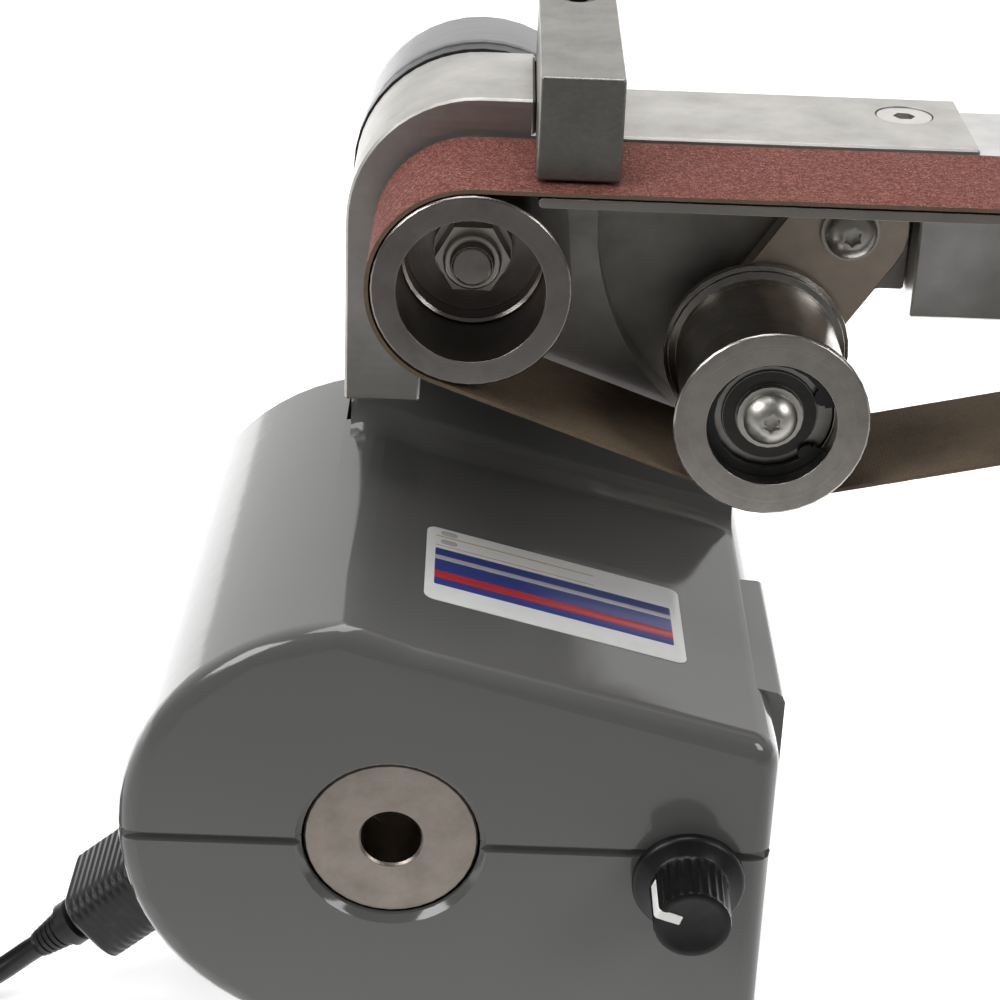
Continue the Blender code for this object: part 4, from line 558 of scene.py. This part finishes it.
KNOB_FRONT, KNOB_BACK = -46.45, -31.85
SKIRT_FRONT = -35.0
KNOB_SIDE = 7.6
FLUTES, FLUTE_DEPTH = 26, 0.42
POINTER_ANGLE, POINTER_HALF, POINTER_THICK = math.radians(160), 1.0, 0.7


def knob_flute(angle, y):
    """How deep the cap's side is cut, fading out at the cap's front edge and at the skirt."""
    at_front = max(0.0, (y - KNOB_FRONT - 0.5) / 0.7)
    at_skirt = max(0.0, (SKIRT_FRONT - y) / 0.8)
    wave = (0.5 - 0.5 * math.cos(FLUTES * angle)) ** 0.7
    return FLUTE_DEPTH * min(1.0, at_front, at_skirt) * wave


def make_knob():
    """The fluted knob with its skirt and white pointer."""
    x, z = KNOB
    front, back, side = KNOB_FRONT, KNOB_BACK, KNOB_SIDE
    dished_face = [(0.0, front + 0.35), (5.2, front + 0.35), (5.9, front + 0.05), (6.9, front)]
    rim = [(side - 0.25, front + 0.25), (side - 0.05, front + 0.8), (side, front + 1.4)]
    wall = [(7.64, -41.0), (7.68, -36.4), (7.7, -35.4), (7.7, -34.9)]
    skirt = [(8.1, -34.4), (10.4, -33.6), (10.95, -33.2), (11.1, -32.8)]
    skirt += [(11.1, back + 0.2), (10.9, back), (6.6, back), (6.5, back - 0.1)]
    bore = [(6.5, -34.9), (3.4, -34.9), (3.3, -35.0), (3.3, -43.3), (0.0, -43.3)]
    shape = bmesh.new()
    revolve(shape, dished_face + rim + wall + skirt + bore, x, z, 208, knob_flute)
    knob = piece("knob_cap", shape, [KNOB_PLASTIC], "knob")
    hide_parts("speed_knob")
    make_pointer()


def make_pointer():
    """The white line from the cap's middle, over its edge and down its side."""
    x, z = KNOB
    out = Vector((math.cos(POINTER_ANGLE), math.sin(POINTER_ANGLE)))
    side = Vector((-out.y, out.x))
    # The outer face's distance from the axis and y, then how far the inner face is in and back
    path = [(2.4, KNOB_FRONT + 0.2, 0.0, POINTER_THICK)]
    path.append((7.1, KNOB_FRONT - 0.12, 0.0, POINTER_THICK))
    path.append((7.72, KNOB_FRONT + 0.45, POINTER_THICK, POINTER_THICK / 2))
    path.append((7.78, -36.6, POINTER_THICK, 0.0))
    shape = bmesh.new()
    rings = []
    for radius, y, inset, drop in path:
        ring = []
        for across, inward in ((-1, 0), (1, 0), (1, 1), (-1, 1)):
            spot = out * (radius - inset * inward) + side * across * POINTER_HALF
            ring.append(shape.verts.new(at(x + spot.x, y + drop * inward, z + spot.y)))
        rings.append(ring)
    for upper, lower in zip(rings, rings[1:]):
        bridge(shape, upper, lower)
    shape.faces.new(rings[0])
    shape.faces.new(rings[-1][::-1])
    bmesh.ops.bevel(shape, geom=shape.edges[:], offset=0.12 * mm, segments=2, affect="EDGES")
    mark = piece("knob_pointer", shape, [WHITE_INK], "knob")


# Mains connector, cord, coil and plug


def inlet_axis(reach):
    """The point that far from the inlet's centre, along its axis."""
    x, y, z = INLET_CENTRE
    return Vector((x + reach * math.cos(INLET_ANGLE), y, z + reach * math.sin(INLET_ANGLE)))


CURVE_STEPS = 24


def smooth(points, spacing):
    """Points at even steps along a smooth curve through the given ones."""
    ends = [2 * points[0] - points[1], *points, 2 * points[-1] - points[-2]]
    fine = []
    for p0, p1, p2, p3 in zip(ends, ends[1:], ends[2:], ends[3:]):
        for i in range(CURVE_STEPS):
            t = i / CURVE_STEPS
            curve = 2 * p1 + (p2 - p0) * t + (2 * p0 - 5 * p1 + 4 * p2 - p3) * t**2
            curve += (3 * p1 - p0 - 3 * p2 + p3) * t**3
            fine.append(curve / 2)
    fine.append(points[-1])
    kept = [fine[0]]
    for point in fine[1:-1]:
        if (point - kept[-1]).length >= spacing and (point - fine[-1]).length >= spacing / 2:
            kept.append(point)
    return [*kept, fine[-1]]


def lead_route():
    """The cord's first part, from the connector's boot down to the bench."""
    chosen = [
        inlet_axis(CONNECTOR_FAR + BOOT_LONG + LIFT),
        Vector((-95.3, 17.0, FLOOR + 11.6)),
        Vector((-98.7, 16.6, FLOOR + 8.9)),
        Vector((-102.6, 15.6, FLOOR + 6.4)),
        Vector((-107.0, 14.0, FLOOR + 4.4)),
        Vector((-112.0, 12.0, CORD_ON_BENCH + 0.5)),
        Vector((-118.0, 10.1, CORD_ON_BENCH)),
        Vector((-124.5, 8.8, CORD_ON_BENCH)),
        Vector((-130.5, 8.3, CORD_ON_BENCH)),
        Vector((-136.2, 8.2, CORD_ON_BENCH)),
    ]
    return smooth(chosen, 3.0)


def ease(share):
    """Goes from 0 to 1 without a corner at either end."""
    share = min(1.0, max(0.0, share))
    return share * share * (3 - 2 * share)


ROW_STEP, LAYER_STEP = 5.3, 5.25
COIL_CHANGE = 0.45
COIL_STEPS = 40


def coil_route():
    """Eight turns, three beside each other and three high, clockwise from the bench up.

    rows and layers hold when a change starts, in turns, and what it changes to. Each takes
    COIL_CHANGE of a turn, and starts where the turns beside and under it leave room.
    """
    inner, middle, outer = (COIL_MID_R + d for d in (-ROW_STEP, 0.0, ROW_STEP))
    rows = [(1.3, middle), (2.3, inner), (4.0, middle), (5.0, outer), (6.7, middle), (7.7, inner)]
    rows.append((8.55, COIL_LEAVE_R))
    layers = [(3.15, CORD_ON_BENCH + LAYER_STEP), (5.85, CORD_ON_BENCH + 2 * LAYER_STEP)]
    layers.append((8.55, CORD_ON_COIL))
    first, last = 0.55, 9.0
    steps = round((last - first) * COIL_STEPS)
    points = []
    for i in range(steps + 1):
        turns = first + (last - first) * i / steps
        radius, height = outer, CORD_ON_BENCH
        for start, target in rows:
            radius += (target - radius) * ease((turns - start) / COIL_CHANGE)
        for start, target in layers:
            height += (target - height) * ease((turns - start) / COIL_CHANGE)
        angle = -math.pi / 2 - 2 * math.pi * (turns - first)
        x, y = COIL_X + radius * math.cos(angle), COIL_Y + radius * math.sin(angle)
        points.append(Vector((x, y, height)))
    return points


def curve_tube(name, points, radius, material, body):
    """A smooth cord as a curve of one open spline."""
    curve = bpy.data.curves.new(name, "CURVE")
    curve.dimensions = "3D"
    curve.bevel_depth = radius * mm
    curve.bevel_resolution = 4
    curve.use_fill_caps = True
    spline = curve.splines.new("POLY")
    spline.points.add(len(points) - 1)
    for point, spot in zip(spline.points, points):
        point.co = (*at(*spot), 1.0)
    curve.materials.append(material)
    made = bpy.data.objects.new(name, curve)
    bpy.context.scene.collection.objects.link(made)
    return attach(made, body)


def connector_axes(direction):
    """The connector's axes: through its broad sides, across its width, and along it."""
    along = direction.normalized()
    wide = Vector((0.0, 1.0, 0.0))
    return along.cross(wide), wide, along


CORNER_STEPS = 6


def rounded_section(half_a, half_b, corner):
    """The outline of a rounded rectangle, as (a, b) pairs."""
    points = []
    for sx, sy, start in ((1, 1, 0), (-1, 1, 90), (-1, -1, 180), (1, -1, 270)):
        for i in range(CORNER_STEPS + 1):
            angle = math.radians(start + 90 * i / CORNER_STEPS)
            a = sx * (half_a - corner) + corner * math.cos(angle)
            b = sy * (half_b - corner) + corner * math.sin(angle)
            points.append((a, b))
    return points


def loft(shape, origin, axes, sections):
    """Skins sections of (how far along, half a, half b, corner), with closed ends."""
    across, wide, along = axes
    rings = []
    for reach, half_a, half_b, corner in sections:
        ring = []
        for a, b in rounded_section(half_a, half_b, corner):
            ring.append(shape.verts.new(at(*(origin + across * a + wide * b + along * reach))))
        rings.append(ring)
    for upper, lower in zip(rings, rings[1:]):
        bridge(shape, upper, lower)
    shape.faces.new(rings[0])
    shape.faces.new(rings[-1][::-1])


RIBS, RIB_PITCH, RIBS_START = 10, 1.85, 9.6
SLOTS, SLOT_PITCH, SLOTS_START = 5, 1.5, 5.2


def connector_sections():
    """The body's sections: a shoulder, grip ribs on the broad sides, and a rounded end."""
    half_a, half_b, groove = 8.9, 12.5, 8.4
    sections = [(0.0, 7.4, 11.0, 3.4), (0.5, 8.1, 11.7, 4.0)]
    sections += [(7.6, 8.4, 12.0, 4.4), (8.4, half_a, half_b, 4.8)]
    for i in range(RIBS):
        reach = RIBS_START + RIB_PITCH * i
        sections += [(reach, half_a, half_b, 4.8), (reach + 0.75, half_a, half_b, 4.8)]
        sections += [(reach + 1.05, groove, half_b, 4.6), (reach + 1.5, groove, half_b, 4.6)]
    reach = RIBS_START + RIB_PITCH * RIBS
    sections += [(reach, half_a, 12.4, 4.8), (reach + 1.2, 8.2, 11.0, 5.0)]
    sections.append((reach + 2.4, 6.8, 8.2, 5.0))
    end = CONNECTOR_FAR - CONNECTOR_NEAR
    return [*sections, (end - 0.6, 5.2, 5.6, 4.6), (end + 0.6, 4.6, 4.6, 4.4)]


def boot_sections():
    """The boot's sections: a collar, then rings that get thinner towards the cord."""
    rings = [(1.0, 4.0), (1.5, 5.2), (4.2, 5.2), (4.6, 4.2)]
    for i in range(SLOTS):
        reach, radius = SLOTS_START + SLOT_PITCH * i, 4.2 - 0.24 * i
        rings += [(reach, radius), (reach + 0.85, radius)]
        rings += [(reach + 1.0, radius - 0.6), (reach + 1.35, radius - 0.6)]
    rings.append((BOOT_LONG, 2.95))
    return [(reach, radius, radius, radius * 0.98) for reach, radius in rings]


def make_connector():
    """The moulded connector and its slotted boot."""
    axes = connector_axes(Vector((math.cos(INLET_ANGLE), 0.0, math.sin(INLET_ANGLE))))
    shape = bmesh.new()
    loft(shape, inlet_axis(CONNECTOR_NEAR), axes, connector_sections())
    body = piece("connector_body", shape, [BLACK_PLASTIC], "base")
    shape = bmesh.new()
    loft(shape, inlet_axis(CONNECTOR_FAR), axes, boot_sections())
    boot = piece("connector_boot", shape, [BLACK_PLASTIC], "base")
    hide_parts("cord_connector")
    return [body, boot]


def tail_middle():
    """The middle of the round bend between the coil and the plug."""
    reach = COIL_LEAVE_R - TAIL_R
    return (COIL_X + reach * math.cos(COIL_LEAVE), COIL_Y + reach * math.sin(COIL_LEAVE))


PLUG_X, PLUG_REAR = tail_middle()[0] + TAIL_R, tail_middle()[1] - PLUG_BOOT - 1.0
TAIL_STEPS = 12


def tail_route():
    """The cord's last part: round the bend that leaves the coil, rising to the plug."""
    x, y = tail_middle()
    points = []
    for i in range(TAIL_STEPS + 1):
        share = i / TAIL_STEPS
        angle = COIL_LEAVE * (1 - share)
        height = CORD_ON_COIL + (PLUG_CORD - CORD_ON_COIL) * ease(share)
        spot = Vector((x + TAIL_R * math.cos(angle), y + TAIL_R * math.sin(angle), height))
        points.append(spot)
    return [*points, Vector((PLUG_X, PLUG_REAR + PLUG_BOOT - 1.0, PLUG_CORD))]


def make_plug():
    """The moulded three-pin plug, on its back on the coil."""
    axes = [Vector(row) for row in Matrix.Identity(3)]
    origin = Vector((PLUG_X, PLUG_REAR - PLUG_LONG / 2, PLUG_LOW))
    # How high, how much less than half the plug's width and length, and the corner's round
    profile = [(0.0, 6.5, 6.0, 6.0), (1.2, 4.2, 3.6, 7.0), (4.0, 2.4, 1.8, 7.5)]
    profile += [(9.0, 1.0, 0.6, 7.5), (13.5, 0.3, 0.2, 7.0), (16.5, 0.0, 0.0, 6.5)]
    profile += [(19.2, 0.0, 0.0, 6.0), (19.8, 0.5, 0.5, 5.6), (PLUG_TALL, 1.2, 1.2, 5.2)]
    sections = [
        (height, PLUG_WIDE / 2 - less_wide, PLUG_LONG / 2 - less_long, corner)
        for height, less_wide, less_long, corner in profile
    ]
    shape = bmesh.new()
    loft(shape, origin, axes, sections)
    body = piece("plug_body", shape, [BLACK_PLASTIC], "base")
    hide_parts("mains_plug")
    made = [body]
    # Each pin's place from the plug's rear middle, half its section, and how far it stands out
    pins = [("earth", 0.0, -31.0, 2.0, 4.0, 22.7), ("live", 11.1, -9.0, 3.175, 2.0, 17.7)]
    pins.append(("neutral", -11.1, -9.0, 3.175, 2.0, 17.7))
    sunk = 1.5
    for name, dx, dy, half_x, half_y, tall in pins:
        spot = Vector((PLUG_X + dx, PLUG_REAR + dy, PLUG_LOW + PLUG_TALL - sunk))
        sections = [(0.0, half_x, half_y, 0.3), (tall + sunk - 1.2, half_x, half_y, 0.3)]
        sections.append((tall + sunk - 0.3, half_x * 0.9, half_y * 0.85, 0.3))
        sections.append((tall + sunk, half_x * 0.7, half_y * 0.6, 0.25))
        shape = bmesh.new()
        loft(shape, spot, axes, sections)
        pin = piece("plug_pin_" + name, shape, [PLATED], "base")
        made.append(pin)
    return made


def make_cord():
    """The one mains cord: from the connector's boot down to the bench, its coil and its plug."""
    on_connector = make_connector()
    on_plug = make_plug()
    lead = lead_route()
    coil = coil_route()
    between = [lead[-1].lerp(coil[0], share / 5) for share in range(1, 5)]
    route = lead + between + coil + tail_route()[1:]
    cord = curve_tube("mains_lead", route, CORD_R, CORD_RUBBER, "base")
    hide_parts("mains_cord", "cord_coil", "cord_tail")


# Details


LABEL_MIDDLE = (19.0, 8.1)
LABEL_HALF_LONG, LABEL_HALF_WIDE = 27.3, 15.4
LABEL_TURN = math.radians(0.6)
INKS = {
    "blue": (0.03, 0.045, 0.20),
    "red": (0.42, 0.03, 0.03),
    "gold": (0.40, 0.27, 0.12),
    "grey": (0.36, 0.36, 0.36),
}


def label_plane():
    """The label's middle on the sloping deck, and its axes: along it, across it and off it."""
    x, y = LABEL_MIDDLE
    middle = Vector((x, y, DECK_START[1] - DECK_SLOPE * (x - DECK_START[0])))
    slope = math.atan(DECK_SLOPE)
    down_deck = Vector((math.cos(slope), 0.0, -math.sin(slope)))
    rear = Vector((0.0, 1.0, 0.0))
    along = down_deck * math.cos(LABEL_TURN) + rear * math.sin(LABEL_TURN)
    across = rear * math.cos(LABEL_TURN) - down_deck * math.sin(LABEL_TURN)
    return middle, along, across, down_deck.cross(rear)


def label_plate(name, long, wide, heights, corner, material):
    """A thin plate of the label. long, wide and heights are (low, high) pairs on its plane."""
    middle, along, across, off = label_plane()
    mid_long, mid_wide = sum(long) / 2, sum(wide) / 2
    half_long, half_wide = (long[1] - long[0]) / 2, (wide[1] - wide[0]) / 2
    low, high = heights
    shape = bmesh.new()
    rings = []
    for height, shrink in ((low, 0.0), (high - 0.02, 0.0), (high, 0.04)):
        ring = []
        for a, b in rounded_section(half_long - shrink, half_wide - shrink, corner):
            spot = middle + along * (mid_long + a) + across * (mid_wide + b) + off * height
            ring.append(shape.verts.new(at(*spot)))
        rings.append(ring)
    for upper, lower in zip(rings, rings[1:]):
        bridge(shape, upper, lower)
    shape.faces.new(rings[0])
    shape.faces.new(rings[-1][::-1])
    made = piece(name, shape, [material], "base")


def make_label():
    """A plain sticker on the sloping deck, with generic bands and no lettering."""
    white = Shading("label_white", (0.60, 0.615, 0.60), 0.32)
    grain = white.noise(white.place(), 300.0, 3.0)
    white.feed("Base Color", white.mix(grain, (0.56, 0.575, 0.56), (0.66, 0.675, 0.66)))
    inks = {}
    for name, colour in INKS.items():
        ink = Shading("label_" + name, colour, 0.35)
        fade = ink.noise(ink.place(), 500.0, 3.0)
        pale = [min(1.0, c * 1.12) for c in colour]
        ink.feed("Base Color", ink.mix(fade, [c * 0.85 for c in colour], pale))
        inks[name] = ink.material
    long, wide = LABEL_HALF_LONG, LABEL_HALF_WIDE
    label_plate("label_base", (-long, long), (-wide, wide), (0.02, 0.16), 2.2, white.material)
    panel, rule, dot = (-25.4, 25.0), (-25.4, 8.6), (-24.4, -20.8)
    print_layer, top_layer = (0.10, 0.19), (0.12, 0.205)
    label_plate("label_panel", panel, (-9.0, 6.4), print_layer, 0.4, inks["blue"])
    label_plate("label_band_upper", panel, (1.6, 3.4), top_layer, 0.1, inks["grey"])
    label_plate("label_band_lower", panel, (-6.2, -3.2), top_layer, 0.1, inks["red"])
    label_plate("label_rule_upper", rule, (11.6, 12.0), print_layer, 0.1, inks["gold"])
    label_plate("label_rule_lower", rule, (7.6, 7.9), print_layer, 0.1, inks["gold"])
    label_plate("label_dot_upper", dot, (12.4, 14.4), print_layer, 0.9, inks["grey"])
    label_plate("label_dot_lower", dot, (8.6, 10.6), print_layer, 0.9, inks["grey"])


def make_thread():
    """The crests of the thread that show between the shaft's end and its nut."""
    start, pitch, crests = 13.75, 0.85, 3
    crest = [(3.7, 0.0), (4.02, 0.05), (4.2, 0.3), (4.2, 0.42), (4.02, 0.68), (3.7, 0.72)]
    shape = bmesh.new()
    for i in range(crests):
        y = start + pitch * i
        profile = [(radius, y + along) for radius, along in crest]
        rings = revolve(shape, profile, *DRIVE[:2], 40)
        bridge(shape, rings[-1], rings[0])
    made = piece("shaft_thread", shape, [PLATED], "drive_shaft")


# Stage and lights


def floor_paper():
    """White paper. Off the camera's own rays it dims towards the camera's side, as in a studio."""
    paper = Shading("floor_paper", (0.86, 0.86, 0.86), 0.9)
    path = paper.node("ShaderNodeLightPath").outputs
    place = paper.node("ShaderNodeNewGeometry").outputs["Position"]
    depth = paper.node("ShaderNodeSeparateXYZ", {0: place}).outputs["Y"]
    values = {"Value": depth, "From Min": -0.45, "From Max": 0.45}
    share = paper.node("ShaderNodeMapRange", values).outputs["Result"]
    stops = [(0.0, 0.10), (0.10, 0.13), (0.30, 0.34), (0.5, 0.62), (0.72, 1.0), (1.0, 1.0)]
    values = {"Color": paper.ramp(share, stops), "Strength": BACK_GLOW}
    glow = paper.node("ShaderNodeEmission", values)
    lit = paper.node("ShaderNodeEmission", {"Strength": 0.5})
    both = paper.node("ShaderNodeAddShader")
    paper.tree.links.new(paper.shader.outputs[0], both.inputs[0])
    paper.tree.links.new(lit.outputs[0], both.inputs[1])
    seen = paper.node("ShaderNodeMixShader", {0: path["Is Camera Ray"]})
    paper.tree.links.new(glow.outputs[0], seen.inputs[1])
    paper.tree.links.new(both.outputs[0], seen.inputs[2])
    paper.tree.links.new(seen.outputs[0], paper.tree.nodes["Material Output"].inputs["Surface"])
    return paper.material


def make_stage():
    """The bench top that the machine stands on."""
    shape = bmesh.new()
    reach = 6000.0
    corners = [(-reach, -reach), (reach, -reach), (reach, reach), (-reach, reach)]
    shape.faces.new([shape.verts.new(at(x, y, FLOOR - 0.02)) for x, y in corners])
    mesh = bpy.data.meshes.new("floor")
    shape.to_mesh(mesh)
    shape.free()
    floor = bpy.data.objects.new("floor", mesh)
    bpy.context.scene.collection.objects.link(floor)
    mesh.materials.append(floor_paper())


def make_light(name, spot, aim, width, height, power):
    """A rectangular softbox that faces a point. Places and sizes are in metres."""
    lamp = bpy.data.lights.new(name, "AREA")
    lamp.shape = "RECTANGLE"
    lamp.size = width
    lamp.size_y = height
    lamp.energy = power
    made = bpy.data.objects.new(name, lamp)
    made.location = spot
    made.rotation_euler = (Vector(aim) - Vector(spot)).to_track_quat("-Z", "Y").to_euler()
    bpy.context.scene.collection.objects.link(made)


def make_world():
    """A studio that is bright behind the object and dim on the camera's side."""
    world = bpy.data.worlds.new("studio")
    bpy.context.scene.world = world
    world.use_nodes = True
    nodes, links = world.node_tree.nodes, world.node_tree.links
    backdrop = nodes["Background"]
    turn = nodes.new("ShaderNodeTexCoord")
    parts = nodes.new("ShaderNodeSeparateXYZ")
    share = nodes.new("ShaderNodeMapRange")
    ramp = nodes.new("ShaderNodeValToRGB")
    links.new(turn.outputs["Generated"], parts.inputs[0])
    links.new(parts.outputs["Y"], share.inputs["Value"])
    share.inputs["From Min"].default_value = -1.0
    links.new(share.outputs["Result"], ramp.inputs["Fac"])
    for mark, where, shade in zip(ramp.color_ramp.elements, (0.38, 0.80), (0.10, 1.0)):
        mark.position = where
        mark.color = (shade, shade, shade, 1.0)
    links.new(ramp.outputs["Color"], backdrop.inputs["Color"])
    backdrop.inputs["Strength"].default_value = STUDIO_GLOW


def make_lights():
    make_world()
    make_light("top_softbox", (-0.1, 0.05, 1.1), (0.0, 0.0, 0.1), 0.9, 0.5, 7.0)
    make_light("left_softbox", (-1.0, -0.65, 0.9), (-0.05, 0.0, 0.1), 0.6, 0.6, 9.0)
    make_light("right_softbox", (0.9, -0.75, 0.8), (0.05, 0.0, 0.1), 0.5, 0.5, 5.0)
    bpy.context.scene.view_settings.view_transform = "Standard"


make_cord()
paint_frame_nodes()
for each in ("frame", "extension_bar", "work_rest", "tension_lever"):
    soften(each, 0.25)
for each in ("drive_cover", "back_plate", "platen"):
    soften(each, 0.25)
for each in ("upper_shell", "lower_shell"):
    soften(each, 0.5, 3)
for each, node in NODES.items():
    if not node.modifiers and not node.hide_render:
        soften(each, 0.12)
make_belt()
make_knob()
make_label()
make_thread()
make_stage()
make_lights()
